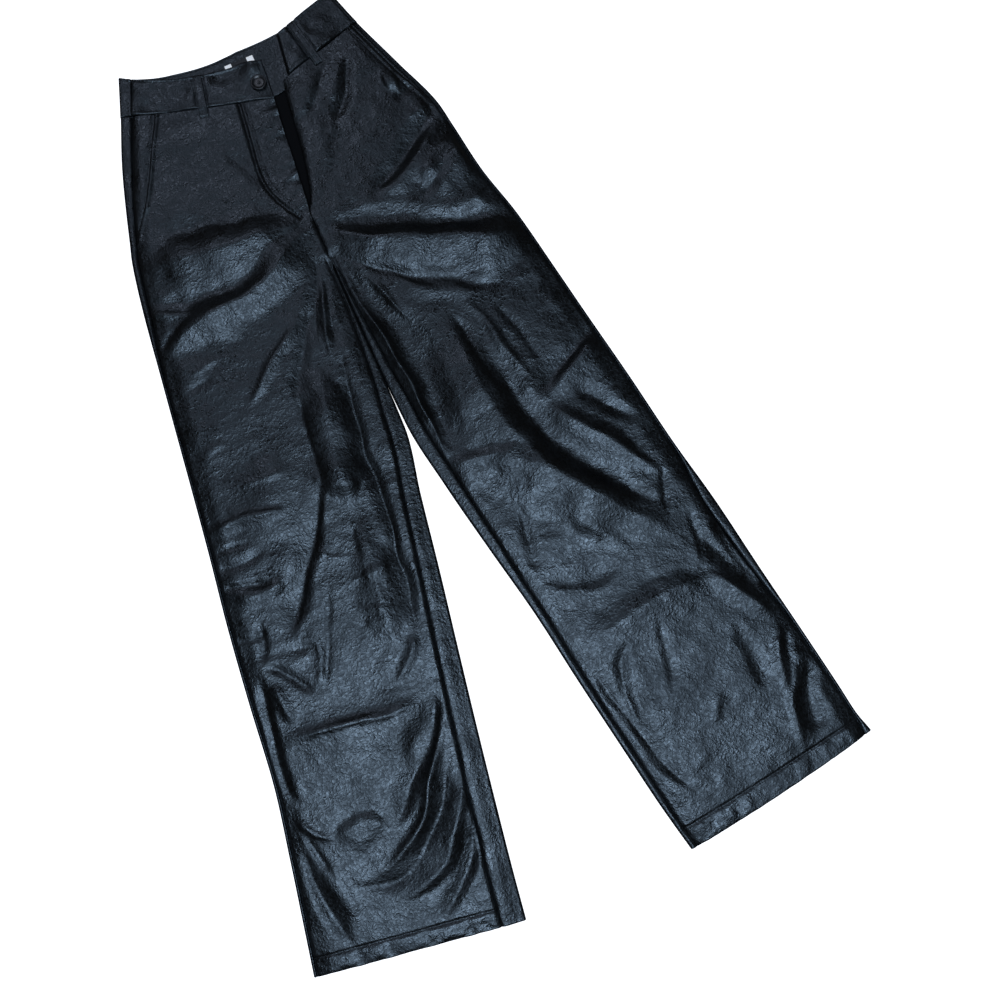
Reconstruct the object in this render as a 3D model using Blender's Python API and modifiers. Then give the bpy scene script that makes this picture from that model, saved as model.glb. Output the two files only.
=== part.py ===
"""Wide-leg leather trousers with a high waist, lying flat with the front up.

All sizes are in millimetres and become metres where a mesh is made. +X is the
wearer's left, +Y runs to the waist and +Z comes up out of the front. Each leg is
a flattened tube: the back panels lie on the ground, roll up over both edges and
meet the front panels at the outseam and the inseam. The right front laps over
the left at the fly, and the left front stands up in a fold beside it.
"""

import math
from collections import namedtuple

import bmesh
import bpy
from mathutils import Vector

MM = 0.001

for leftover in list(bpy.data.objects):
    bpy.data.objects.remove(leftover, do_unlink=True)
collection = bpy.data.collections.new("leather_trousers")
bpy.context.scene.collection.children.link(collection)

# Cloth
WALL = 1.2  # one layer of leather
BAND_WALL = 2.4  # the waistband is two layers
LOOP_WALL = 1.8  # a belt loop is folded and stitched flat
LABEL_WALL = 1.0
SEAM_GAP = 0.3  # between two pieces at a seam, and between two layers that touch

# How the cloth lies. A level is the height of the middle of a wall.
FOLD_RADIUS = 2.6  # at a folded edge of a leg
BAND_FOLD_RADIUS = 2.2
LIP_RADIUS = 2.2  # where the left front turns down at the fly
LOOP_LIFT = LOOP_WALL + SEAM_GAP  # the loops behind lift the waist off the ground
BACK_LEVEL = WALL / 2
FRONT_LEVEL = BACK_LEVEL + 2 * FOLD_RADIUS
BAND_BACK_LEVEL = LOOP_LIFT + BAND_WALL / 2
BAND_FRONT_LEVEL = BAND_BACK_LEVEL + 2 * BAND_FOLD_RADIUS
SHIELD_LEVEL = BACK_LEVEL + WALL + SEAM_GAP
UNDERLAP_LEVEL = SHIELD_LEVEL + LOOP_LIFT + (WALL + BAND_WALL) / 2 + SEAM_GAP
TAB_LEVEL = UNDERLAP_LEVEL + BAND_WALL + SEAM_GAP
CREST_LEVEL = UNDERLAP_LEVEL + 2 * LIP_RADIUS
MIDDLE_SAG = 1.2  # the front sinks between its two folded edges
LEAST_FRONT_LEVEL = BACK_LEVEL + WALL + SEAM_GAP
EDGE_EASE = 14.0  # width over which a fold in the front dies out at an edge
POCKET_DROP = WALL + SEAM_GAP  # the pocket facing lies this far under the front

# Heights of the outer edge at which the build changes, from the waist down
LIFT_FULL, LIFT_NONE = 496.0, 440.0
POCKET_END, DROP_END = 352.0, 326.0
LIP_FULL, LIP_NONE = 366.0, 338.0
HIP_END, CROTCH = 290.0, 275.0

# One row for each cross-section, from the top of the waistband to the hem. The
# outer point is the folded outer edge, and the inner point the centre line above
# the crotch and the folded inner edge below it. back_up raises the back's inner
# point, the sags bow the section down, lap carries the front past the inner
# point, and the last three are distances in from the folded edges.
Section = namedtuple(
    "Section",
    "outer_x outer_y inner_x inner_y back_up front_sag back_sag lap seam_in mouth_in inseam_in",
)
RIGHT = [
    Section(-146, 562.9, 0.5, 517, 21, 11, 11, 25, 14, 42, 4),  # top of the waistband
    Section(-163, 514, 0.5, 464, 24, 2, 11, 20, 14, 42, 4),  # waist seam
    Section(-187, 450, 0.5, 406, 18, 0, 8, 13, 13, 36, 4),
    Section(-202, 400, 0.5, 359, 12, 0, 4, 8, 10, 26, 4),
    Section(-213, 360, 0.5, 320, 8, 0, 2, 4, 9, 11, 4),  # end of the pocket
    Section(-219, 338, 0.5, 298, 6, 0, 1, 1, 9, 9, 4),  # end of the fly
    Section(-230, 275, 0.5, 235, 0, 0, 0, 0, 9, 9, 6),  # crotch
    Section(-241, 190, 0.5, 150, 0, 0, 0, 0, 5, 5, 7),
    Section(-250, 120, 0.5, 80, 0, 0, 0, 0, 4.5, 4.5, 12.5),
    Section(-258, 57, 0, 17, 0, 0, 0, 0, 4.5, 4.5, 20),  # where the legs part
    Section(-269.5, -30, -16, -70, 0, 0, 0, 0, 4.5, 4.5, 21),
    Section(-282.5, -120, -32, -160, 0, 0, 0, 0, 4.5, 4.5, 23.5),
    Section(-293, -210, -49, -250, 0, 0, 0, 0, 4.5, 4.5, 25.5),
    Section(-302, -300, -66, -341, 0, 0, 0, 0, 4.5, 4.5, 27),
    Section(-318, -390, -82, -431, 0, 0, 0, 0, 4.5, 4.5, 28.5),
    Section(-331.5, -460, -94, -501, 0, 0, 0, 0, 4.5, 4.5, 29.5),
    Section(-342, -514, -102.5, -555, 0, 0, 0, 0, 4.5, 4.5, 29),  # hem
]
LEFT = [
    Section(138, 562, 1.5, 521, 17, 0, 8.5, -57, 4.5, 10, 4),
    Section(153, 511, 1.5, 465, 23, 0, 8.5, -49, 4.5, 10, 4),
    Section(179, 440, 1.5, 398, 17, 0, 7, -37, 4.5, 10, 4),
    Section(203, 369, 1.5, 330, 9, 0, 2, -13, 4.5, 6, 4),
    Section(207, 338, 1.8, 299, 6, 0, 1, 0, 4.5, 4.5, 4),
    Section(215, 275, 1.5, 239, 0, 0, 0, 0, 4.5, 4.5, 6),
    Section(232, 200, 1.5, 166, 0, 0, 0, 0, 4.5, 4.5, 7),
    Section(244.5, 120, 1.5, 87, 0, 0, 0, 0, 4.5, 4.5, 12.5),
    Section(255, 50, 3, 17, 0, 0, 0, 0, 4.5, 4.5, 17),
    Section(269, -40, 15, -72, 0, 0, 0, 0, 4.5, 4.5, 16),
    Section(281.5, -130, 31, -161, 0, 0, 0, 0, 4.5, 4.5, 13),
    Section(297, -220, 48, -251, 0, 0, 0, 0, 14, 14, 9),
    Section(309, -310, 61, -341, 0, 0, 0, 0, 10, 10, 8),
    Section(322, -400, 75, -431, 0, 0, 0, 0, 4.5, 4.5, 8),
    Section(331.5, -470, 86, -501, 0, 0, 0, 0, 4.5, 4.5, 7.5),
    Section(335.5, -503, 92, -533, 0, 1.5, 1.5, 0, 4.5, 4.5, 7),
    Section(342, -528, 98, -562.6, 0, 3, 3, 0, 10, 10, 7),
]

# The largest folds of the fronts: a ridge has a height over zero, a trough under it
Fold = namedtuple("Fold", "name height half_width path")
FOLDS = [
    Fold("fly crest", 2.6, 26, [(60, 540), (51, 480), (39, 407), (16, 333), (3, 300)]),
    Fold("right hip ridge", 3.6, 20, [(-8, 284), (-60, 256), (-130, 229), (-215, 222)]),
    Fold("right knee ridge", 4.6, 24, [(-112, 70), (-125, -15), (-160, -80), (-217, -155)]),
    Fold("right knee hollow", -2.0, 22, [(-135, -25), (-185, -90), (-228, -145)]),
    Fold("right shin gully", -2.2, 18, [(-266, -190), (-276, -270), (-272, -345)]),
    Fold("right shin ridge", 3.0, 20, [(-268, -268), (-195, -281), (-110, -292)]),
    Fold("right calf trough", -2.2, 20, [(-80, -272), (-140, -335), (-200, -410), (-250, -436)]),
    Fold("right calf ridge", 3.2, 20, [(-108, -385), (-145, -445), (-205, -482)]),
    Fold("left hip trough", -2.0, 22, [(25, 276), (110, 243), (205, 205)]),
    Fold("left hip ridge", 3.8, 26, [(25, 262), (100, 212), (185, 162)]),
    Fold("left thigh crest", 4.6, 22, [(100, 150), (103, 0), (145, -115), (205, -205), (255, -272)]),
    Fold("left knee crest", 2.6, 20, [(124, 112), (150, -18), (212, -92), (252, -175)]),
    Fold("left shin trough", -1.8, 18, [(82, -296), (155, -288), (240, -283)]),
    Fold("left calf hollow", -2.2, 20, [(272, -215), (284, -290), (302, -345)]),
]

FOLD_TAPER, FOLD_BLUNT = 0.18, 0.15  # the share of its length over which a fold dies out, and what is left

ROW_PITCH = 36.0  # along a leg
ROW_CLEARANCE = 7.2  # an even row this near to one that the build needs is left out
FRONT_COLUMNS, FACING_COLUMNS, BOTTOM_COLUMNS = 14, 4, 4
EDGE_RUN, CENTRE_RUN = 6.0, 12.0
ROLL_STEPS, LIP_STEPS = 4, 3
FACING_REACH = 12.0  # of the pocket facing, under the front beyond the mouth


def smoothstep(value):
    value = min(1.0, max(0.0, value))
    return value * value * (3 - 2 * value)


def mix(a, b, amount):
    return a + (b - a) * amount


def spaced(start, end, count):
    """Evenly spaced values from start to end, both included."""
    return [mix(start, end, i / (count - 1)) for i in range(count)]


def section_at(rows, height):
    """The cross-section whose outer edge is at this height, on a smooth curve through the rows."""
    last = len(rows) - 1
    i = next((n for n in range(last) if rows[n + 1].outer_y <= height), last - 1)

    def secant(n, column):
        above, below = rows[n], rows[n + 1]
        return (below[column] - above[column]) / (below.outer_y - above.outer_y)

    def slope(n, column):
        before, after = secant(max(n - 1, 0), column), secant(min(n, last - 1), column)
        return 2 * before * after / (before + after) if before * after > 0 else 0.0

    step = rows[i + 1].outer_y - rows[i].outer_y
    t = (height - rows[i].outer_y) / step
    values = []
    for column in range(len(Section._fields)):
        start, end = rows[i][column], rows[i + 1][column]
        values.append(
            start * (2 * t**3 - 3 * t**2 + 1)
            + end * (3 * t**2 - 2 * t**3)
            + slope(i, column) * step * (t**3 - 2 * t**2 + t)
            + slope(i + 1, column) * step * (t**3 - t**2)
        )
    return Section(*values)


def width_of(section):
    return math.hypot(section.inner_x - section.outer_x, section.inner_y - section.outer_y)


def front_place(section, distance):
    """Where a distance in from the outer edge lies in plan, on the front."""
    u = distance / width_of(section)
    bow = 4 * u * (1 - u) if u < 1 else 0
    return (
        mix(section.outer_x, section.inner_x, u),
        mix(section.outer_y, section.inner_y, u) - section.front_sag * bow,
    )


def back_place(section, distance):
    """The same on the underside, where the waist curves less."""
    u = distance / width_of(section)
    return (
        mix(section.outer_x, section.inner_x, u),
        mix(section.outer_y, section.inner_y + section.back_up, u)
        - section.back_sag * 4 * u * (1 - u),
    )


def fold_height(x, y):
    """The height that the folds add at a place, each rounded across and dying out at its ends."""
    total = 0.0
    for fold in FOLDS:
        path = [Vector(point) for point in fold.path]
        lengths = [(b - a).length for a, b in zip(path, path[1:])]
        nearest, along, passed = math.inf, 0.0, 0.0
        for a, b, length in zip(path, path[1:], lengths):
            t = min(1.0, max(0.0, (Vector((x, y)) - a).dot(b - a) / length**2))
            distance = (Vector((x, y)) - a.lerp(b, t)).length
            if distance < nearest:
                nearest, along = distance, passed + t * length
            passed += length
        if nearest < fold.half_width:
            ends = smoothstep(min(along, passed - along) / (FOLD_TAPER * passed) + FOLD_BLUNT)
            across = 0.5 * (1 + math.cos(math.pi * nearest / fold.half_width))
            total += fold.height * ends * across
    return total


def lift_at(height):
    """How far the belt loops behind lift the cloth near the waist."""
    return LOOP_LIFT * smoothstep((height - LIFT_NONE) / (LIFT_FULL - LIFT_NONE))


def hip_share(height):
    """0 on a leg, where the front stops at the inseam, and 1 above the crotch, where it runs to the fly."""
    return smoothstep((height - CROTCH) / (HIP_END - CROTCH))


def middle_sag(height):
    """The sag of the front below the fly, where nothing lies under it but the back."""
    return MIDDLE_SAG * smoothstep((LIP_NONE - height) / EDGE_EASE)


def front_level(section, distance):
    """The level of the front of a leg: a sag between the edges, with the folds on it."""
    width, height = width_of(section), section.outer_y
    inner_ease = smoothstep((width - distance - FOLD_RADIUS) / EDGE_EASE)
    ease = smoothstep((distance - FOLD_RADIUS) / EDGE_EASE) * mix(inner_ease, 1, hip_share(height))
    relief = fold_height(*front_place(section, distance)) - middle_sag(height)
    return lift_at(height) + max(LEAST_FRONT_LEVEL, FRONT_LEVEL + ease * relief)


def pocket_drop(height):
    """How far the outer edge lies under the front beside the pocket."""
    return POCKET_DROP * smoothstep((height - DROP_END) / (POCKET_END - DROP_END))


def under_distances(width):
    """Where the columns of the underside are, clear of the roll and of the centre seam."""
    return spaced(EDGE_RUN, width - CENTRE_RUN, BOTTOM_COLUMNS)


def outer_roll(radius, wall, bottom_level):
    """The folded outer edge, from the ground up: (distance, level) pairs."""
    angles = spaced(-math.pi / 2, math.pi / 2, ROLL_STEPS + 1)
    return [
        (wall / 2 + radius * (1 - math.cos(a)), bottom_level + radius * (1 + math.sin(a)))
        for a in angles
    ]


def front_points(rows, height, lapped):
    """One row of a front panel, from the pocket mouth or outseam to the inseam or fly."""
    section = section_at(rows, height)
    width = width_of(section)
    start = section.mouth_in + SEAM_GAP / 2
    leg_end = width - section.inseam_in - SEAM_GAP / 2
    hip_end = width + section.lap - SEAM_GAP / 2
    end = mix(leg_end, hip_end, hip_share(height))
    lip = LIP_RADIUS * math.pi / 2
    if lapped:
        distances = spaced(start, end, FRONT_COLUMNS + LIP_STEPS)
        return [(*front_place(section, d), front_level(section, d)) for d in distances]
    turned = smoothstep((height - LIP_NONE) / (LIP_FULL - LIP_NONE))
    crest = end - mix(lip, LIP_RADIUS, turned)
    points = [(d, front_level(section, d)) for d in spaced(start, crest, FRONT_COLUMNS)]
    for step in range(1, LIP_STEPS + 1):
        angle = math.pi / 2 * step / LIP_STEPS
        flat = crest + lip * step / LIP_STEPS
        over = crest + LIP_RADIUS * math.sin(angle)
        down = front_level(section, crest) - LIP_RADIUS * (1 - math.cos(angle))
        points.append((mix(flat, over, turned), mix(front_level(section, flat), down, turned)))
    return [(*front_place(section, d), level) for d, level in points]


def back_points(rows, height):
    """One row of a back panel, from the inseam or centre seam to the outseam.

    Nothing rolls over the inner edge above the crotch, and its points are None there.
    """
    section = section_at(rows, height)
    width, level = width_of(section), BACK_LEVEL + lift_at(height)
    roll = outer_roll(FOLD_RADIUS, WALL, level)
    if height > CROTCH:
        points = [None] * len(roll)
        points.append(Vector((*back_place(section, width - SEAM_GAP / 2), level)))
    else:
        inseam = width - section.inseam_in + SEAM_GAP / 2
        points = [Vector((*front_place(section, inseam), front_level(section, inseam)))]
        points += [Vector((*front_place(section, width - d), z)) for d, z in reversed(roll)]
    for distance in reversed(under_distances(width)):
        points.append(Vector((*back_place(section, distance), level)))
    drop = pocket_drop(height)
    for distance, z in roll:
        place = Vector((*front_place(section, distance), z))
        place.z -= drop * smoothstep((z - level) / (2 * FOLD_RADIUS))
        points.append(place)
    seam = section.seam_in - SEAM_GAP / 2
    points.append(Vector((*front_place(section, seam), front_level(section, seam) - drop)))
    return points


def facing_points(rows, height):
    """One row of a pocket facing, from the outseam to under the front beyond the mouth."""
    section = section_at(rows, height)
    start, end = section.seam_in + SEAM_GAP / 2, section.mouth_in + FACING_REACH
    distances = spaced(start, end, FACING_COLUMNS)
    return [
        (*front_place(section, d), front_level(section, d) - pocket_drop(height))
        for d in distances
    ]


def panel_heights(rows):
    """Heights for the rows of a panel, with one wherever the build changes."""
    top, bottom = rows[1].outer_y - SEAM_GAP, rows[-1].outer_y
    count = round((top - bottom) / ROW_PITCH) + 1
    needed = [LIFT_FULL, LIP_NONE, HIP_END, CROTCH]
    even = spaced(top, bottom, count)
    clear = [h for h in even if min(abs(h - n) for n in needed) > ROW_CLEARANCE]
    return sorted(clear + needed, reverse=True)


def material(name, colour, roughness, metallic=0.0):
    made = bpy.data.materials.get(name) or bpy.data.materials.new(name)
    made.use_nodes = True
    shader = made.node_tree.nodes["Principled BSDF"]
    shader.inputs["Base Color"].default_value = (*colour, 1)
    shader.inputs["Roughness"].default_value = roughness
    shader.inputs["Metallic"].default_value = metallic
    return made


def leather():
    return material("black_leather", (0.012, 0.014, 0.018), 0.42)


def sheet(name, rows, wall, finish):
    """A cloth piece: a grid through the rows' points, given its wall on both sides."""
    mesh = bmesh.new()
    grid = [[None if p is None else mesh.verts.new(Vector(p) * MM) for p in row] for row in rows]
    for upper, lower in zip(grid, grid[1:]):
        for corners in zip(upper, upper[1:], lower[1:], lower):
            if None not in corners:
                mesh.faces.new(corners)
    data = bpy.data.meshes.new(name)
    mesh.to_mesh(data)
    mesh.free()
    data.materials.append(finish)
    data.shade_smooth()
    piece = bpy.data.objects.new(name, data)
    collection.objects.link(piece)
    shell = piece.modifiers.new("wall", "SOLIDIFY")
    shell.thickness = wall * MM
    shell.offset = 0
    return piece


def front_panels():
    for name, rows, lapped in (("front_right", RIGHT, True), ("front_left", LEFT, False)):
        heights = panel_heights(rows)
        sheet(name, [front_points(rows, h, lapped) for h in heights], WALL, leather())


def back_panels():
    for name, rows in (("back_right", RIGHT), ("back_left", LEFT)):
        heights = panel_heights(rows)
        sheet(name, [back_points(rows, h) for h in heights], WALL, leather())


def pocket_facings():
    for name, rows in (("pocket_facing_right", RIGHT), ("pocket_facing_left", LEFT)):
        heights = [h for h in panel_heights(rows) if h > POCKET_END]
        sheet(name, [facing_points(rows, h) for h in heights], WALL, leather())


# Waistband
BAND_ROWS = 3
BAND_FRONT_COLUMNS = 9
TAB_CLIMB_START, TAB_CLIMB_SHORT = 40.0, 90.0  # in from the edge, and how much less than the band it is
LIP_CURVE = [(0.7, 0.3), (1, 1), (1.3, 1.7), (2, 2)]  # along and down, in radii
UNDERLAP_PATH = [(41, 466), (24, 461), (0, 468), (-27, 474)]  # its lower edge, from the fold
UNDERLAP_HEIGHT = Vector((3, 41))  # from its lower edge to its upper


def band_heights(rows):
    return spaced(rows[0].outer_y, rows[1].outer_y + SEAM_GAP / 2, BAND_ROWS)


def band_outer(section):
    """The part of the back waistband at one edge: the roll and the run up to the side seam."""
    roll = outer_roll(BAND_FOLD_RADIUS, BAND_WALL, BAND_BACK_LEVEL)
    roll.append((section.seam_in - SEAM_GAP / 2, BAND_FRONT_LEVEL))
    return [Vector((*front_place(section, d), z)) for d, z in roll]


def band_back_points(share):
    """One row of the back waistband, from side seam to side seam under the front."""
    ends = []
    for rows in (RIGHT, LEFT):
        section = section_at(rows, mix(rows[0].outer_y, rows[1].outer_y + SEAM_GAP / 2, share))
        edge = band_outer(section)
        run = under_distances(width_of(section)) + [width_of(section)]
        under = [Vector((*back_place(section, d), BAND_BACK_LEVEL)) for d in run]
        ends.append(list(reversed(edge)) + under)
    right, left = ends
    centre = right.pop().lerp(left.pop(), 0.5)
    return right + [centre] + list(reversed(left))


def band_right_points(height):
    """One row of the right front waistband, from the side seam to the end of the tab."""
    section = section_at(RIGHT, height)
    width = width_of(section)
    distances = spaced(section.seam_in + SEAM_GAP / 2, width + section.lap, BAND_FRONT_COLUMNS + 2)
    points = []
    for d in distances:
        climb = smoothstep((d - TAB_CLIMB_START) / (width - TAB_CLIMB_SHORT))
        points.append((*front_place(section, d), mix(BAND_FRONT_LEVEL, TAB_LEVEL, climb)))
    return points


def band_left_points(height, share):
    """One row of the left front waistband: over its fold and on under the tab as the underlap."""
    section = section_at(LEFT, height)
    start = section.seam_in + SEAM_GAP / 2
    crest = width_of(section) + section.lap - LIP_RADIUS
    points = []
    for d in spaced(start, crest, BAND_FRONT_COLUMNS):
        climb = smoothstep((d - start) / (crest - start))
        points.append((*front_place(section, d), mix(BAND_FRONT_LEVEL, CREST_LEVEL, climb)))
    for along, down in LIP_CURVE:
        place = front_place(section, crest + LIP_RADIUS * along)
        points.append((*place, CREST_LEVEL - LIP_RADIUS * down))
    for x, y in UNDERLAP_PATH:
        place = Vector((x, y)) + UNDERLAP_HEIGHT * (1 - share)
        points.append((*place, UNDERLAP_LEVEL))
    return points


def waistband():
    shares = spaced(0, 1, BAND_ROWS)
    sheet("waistband_back", [band_back_points(s) for s in shares], BAND_WALL, leather())
    rows = [band_right_points(h) for h in band_heights(RIGHT)]
    sheet("waistband_front_right", rows, BAND_WALL, leather())
    rows = [band_left_points(h, s) for h, s in zip(band_heights(LEFT), shares)]
    sheet("waistband_front_left", rows, BAND_WALL, leather())


# Fly: the shield lies on the back, with the zip on it, under the flap of the right front
SHIELD_UNDER_FLAP, SHIELD_PAST_CREST = 24.0, 2.0
SHIELD_TOP, SHIELD_END = 509.0, 340.0
ZIP_TOP, ZIP_END = 480.0, 352.0
ZIP_WIDTH, ZIP_THICKNESS, ZIP_INSET = 20.0, 1.3, 4.0
SLIDER_SIZE, SLIDER_ROUNDING = (9.0, 11.0, 1.6), 0.5
SLIDER_HEIGHT, SLIDER_RISE = 486.0, 2.0


def fly_edge(rows, height):
    """The edge of a front at the fly, in plan."""
    section = section_at(rows, height)
    return Vector(front_place(section, width_of(section) + section.lap))


def fly():
    rows = []
    for height in spaced(SHIELD_TOP, SHIELD_END, 7):
        flap, crest = fly_edge(RIGHT, height), fly_edge(LEFT, height)
        level = SHIELD_LEVEL + lift_at(height)
        beside = mix(flap.y, crest.y, 0.5)
        xs = spaced(flap.x - SHIELD_UNDER_FLAP, crest.x + SHIELD_PAST_CREST, 5)
        rows.append([(x, flap.y if x < flap.x else beside, level) for x in xs])
    sheet("fly_shield", rows, WALL, leather())

    tape = material("zip_tape", (0.02, 0.02, 0.022), 0.8)
    base = SHIELD_LEVEL + WALL / 2 + SEAM_GAP
    rows = []
    for height in spaced(ZIP_TOP, ZIP_END, 5):
        flap = fly_edge(RIGHT, height)
        level = base + ZIP_THICKNESS / 2 + lift_at(height)
        xs = spaced(flap.x - ZIP_INSET - ZIP_WIDTH, flap.x - ZIP_INSET, 3)
        rows.append([(x, flap.y, level) for x in xs])
    sheet("zip", rows, ZIP_THICKNESS, tape)

    flap = fly_edge(RIGHT, SLIDER_HEIGHT)
    x, y = flap.x - ZIP_INSET - ZIP_WIDTH / 2, flap.y + SLIDER_RISE
    wide, long, thick = SLIDER_SIZE
    z = base + lift_at(SLIDER_HEIGHT) + thick / 2
    bpy.ops.mesh.primitive_cube_add(size=1, location=Vector((x, y, z)) * MM)
    slider = bpy.context.object
    slider.name = "zip_slider"
    slider.scale = (wide * MM, long * MM, thick * MM)
    bpy.ops.object.transform_apply(location=False, rotation=False, scale=True)
    rounding = slider.modifiers.new("rounding", "BEVEL")
    rounding.width = SLIDER_ROUNDING * MM
    slider.data.materials.append(material("black_metal", (0.03, 0.03, 0.032), 0.35, 1.0))
    for other in list(slider.users_collection):
        other.objects.unlink(slider)
    collection.objects.link(slider)


# Belt loops: the top and the bottom of each, and the level of its middle at both
LOOP_WIDTH = 10.0
LOOP_ARCH = 1.2  # it stands off the band between its ends
LOOP_ROWS = 7
Loop = namedtuple("Loop", "name top bottom level arch")
ON_BAND = BAND_WALL / 2 + SEAM_GAP + LOOP_WALL / 2
LOOPS = [
    Loop("belt_loop_front_right", (-56, 524), (-68, 470), TAB_LEVEL + ON_BAND, LOOP_ARCH),
    Loop("belt_loop_front_left", (76, 540), (88, 477), CREST_LEVEL + ON_BAND, LOOP_ARCH),
    Loop("belt_loop_back_right", (-76, 541), (-84, 481), LOOP_WALL / 2, 0),
    Loop("belt_loop_back_centre", (1, 537), (1, 476), LOOP_WALL / 2, 0),
    Loop("belt_loop_back_left", (76, 541), (84, 481), LOOP_WALL / 2, 0),
]


def belt_loops():
    for loop in LOOPS:
        top, bottom = Vector(loop.top), Vector(loop.bottom)
        side = (bottom - top).orthogonal().normalized() * LOOP_WIDTH / 2
        rows = []
        for share in spaced(0, 1, LOOP_ROWS):
            level = loop.level + loop.arch * math.sin(math.pi * share) ** 0.5
            middle = top.lerp(bottom, share)
            rows.append([(*(middle + side * s), level) for s in (-1, 0, 1)])
        sheet(loop.name, rows, LOOP_WALL, leather())


# Button and label
BUTTON_PLACE = (10, 484)
BUTTON_RADIUS, BUTTON_THICKNESS, BUTTON_RIM, BUTTON_DISH = 10.0, 3.4, 1.8, 0.7
BUTTON_STEPS = 28
LABEL_SIZE = (37, 10)
LABEL_PLACE = (-3, 523)


def button():
    """A turned button with a raised rim round its dished face."""
    high = BUTTON_THICKNESS
    profile = [
        (0, high - BUTTON_DISH),
        (BUTTON_RADIUS - 2 * BUTTON_RIM, high - BUTTON_DISH),
        (BUTTON_RADIUS - BUTTON_RIM, high),
        (BUTTON_RADIUS - BUTTON_RIM / 2, high),
        (BUTTON_RADIUS, high * 0.6),
        (BUTTON_RADIUS - BUTTON_RIM, 0),
        (0, 0),
    ]
    data = bpy.data.meshes.new("button")
    points = [(r * MM, 0, z * MM) for r, z in profile]
    data.from_pydata(points, [(i, i + 1) for i in range(len(points) - 1)], [])
    data.materials.append(material("button_resin", (0.01, 0.01, 0.012), 0.25))
    piece = bpy.data.objects.new("button", data)
    collection.objects.link(piece)
    turn = piece.modifiers.new("turn", "SCREW")
    turn.steps = turn.render_steps = BUTTON_STEPS
    turn.use_merge_vertices = True
    turn.merge_threshold = 0.00005
    top = TAB_LEVEL + BAND_WALL / 2 + SEAM_GAP
    piece.location = Vector((*BUTTON_PLACE, top)) * MM


def waist_label():
    long, high = LABEL_SIZE
    x, y = LABEL_PLACE
    level = BAND_BACK_LEVEL + BAND_WALL / 2 + SEAM_GAP + LABEL_WALL / 2
    rows = [
        [(x + long * s, y + high * t, level) for s in (-0.5, 0, 0.5)]
        for t in (0.5, -0.5)
    ]
    sheet("waist_label", rows, LABEL_WALL, material("label_satin", (0.03, 0.03, 0.035), 0.5))


front_panels()
back_panels()
pocket_facings()
waistband()
fly()
belt_loops()
button()
waist_label()
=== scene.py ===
import math
from collections import namedtuple

import bmesh
import bpy
import numpy as np
from mathutils import Matrix, Vector


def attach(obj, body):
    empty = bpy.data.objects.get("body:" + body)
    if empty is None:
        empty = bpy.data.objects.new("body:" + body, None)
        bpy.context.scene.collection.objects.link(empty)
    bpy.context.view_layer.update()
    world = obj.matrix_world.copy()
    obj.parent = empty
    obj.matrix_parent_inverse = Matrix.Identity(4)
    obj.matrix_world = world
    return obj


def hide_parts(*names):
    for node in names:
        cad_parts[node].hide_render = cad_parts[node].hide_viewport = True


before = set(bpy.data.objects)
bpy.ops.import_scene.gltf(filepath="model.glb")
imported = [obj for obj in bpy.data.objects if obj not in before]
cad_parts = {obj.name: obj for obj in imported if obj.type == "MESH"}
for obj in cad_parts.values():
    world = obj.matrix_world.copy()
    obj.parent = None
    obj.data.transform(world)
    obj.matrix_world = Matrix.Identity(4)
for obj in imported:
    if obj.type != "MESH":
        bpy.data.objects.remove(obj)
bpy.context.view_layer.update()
MM = 0.001  # the trousers' sizes are in millimetres until a mesh is made, the studio's in metres

# ---------------------------------------------------------------------------
# Studio. A sweep of white paper under the trousers, a wide lamp over their legs
# and a weaker one beyond the waist, which rakes across the creases.
CAMERA_PLACE = (-0.0285, -0.3211, 1.4525)
CAMERA_TILT, CAMERA_ROLL = math.radians(9), math.radians(24.4)
CAMERA_LENS, CAMERA_SENSOR = 45, 36
PAPER_HALF, PAPER_BELOW = 4.0, 0.0005
ROOM_COLOUR, ROOM_STRENGTH = (1.0, 0.95, 0.93, 1), 0.035
Lamp = namedtuple("Lamp", "name place aim wide long watts colour")
LAMPS = [
    Lamp("waist_softbox", (-0.21, 1.92, 2.24), (-0.02, 0, 0), 1.25, 0.75, 7.5, (0.74, 0.8, 1.0)),
    Lamp("leg_softbox", (-0.17, -0.56, 2.48), (-0.17, -0.56, 0), 1.36, 1.02, 37, (0.65, 0.8, 1.0)),
]


def added(name, data):
    """A new object in the scene, which holds this data."""
    made = bpy.data.objects.new(name, data)
    bpy.context.scene.collection.objects.link(made)
    return made


camera = added("camera", bpy.data.cameras.new("camera"))
camera.data.lens, camera.data.sensor_width = CAMERA_LENS, CAMERA_SENSOR
camera.matrix_world = (
    Matrix.Translation(CAMERA_PLACE)
    @ Matrix.Rotation(-CAMERA_ROLL, 4, "Z")
    @ Matrix.Rotation(CAMERA_TILT, 4, "X")
)
bpy.context.scene.camera = camera
bpy.context.scene.view_settings.view_transform = "Standard"

for lamp in LAMPS:
    light = bpy.data.lights.new(lamp.name, "AREA")
    light.shape, light.size, light.size_y = "RECTANGLE", lamp.wide, lamp.long
    light.energy, light.color = lamp.watts, lamp.colour
    holder = added(lamp.name, light)
    holder.location = lamp.place
    toward = Vector(lamp.aim) - Vector(lamp.place)
    holder.rotation_euler = toward.to_track_quat("-Z", "Y").to_euler()

room = bpy.data.worlds.new("room")
room.use_nodes = True
room_light = room.node_tree.nodes["Background"].inputs
room_light["Color"].default_value = ROOM_COLOUR
room_light["Strength"].default_value = ROOM_STRENGTH
bpy.context.scene.world = room

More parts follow.
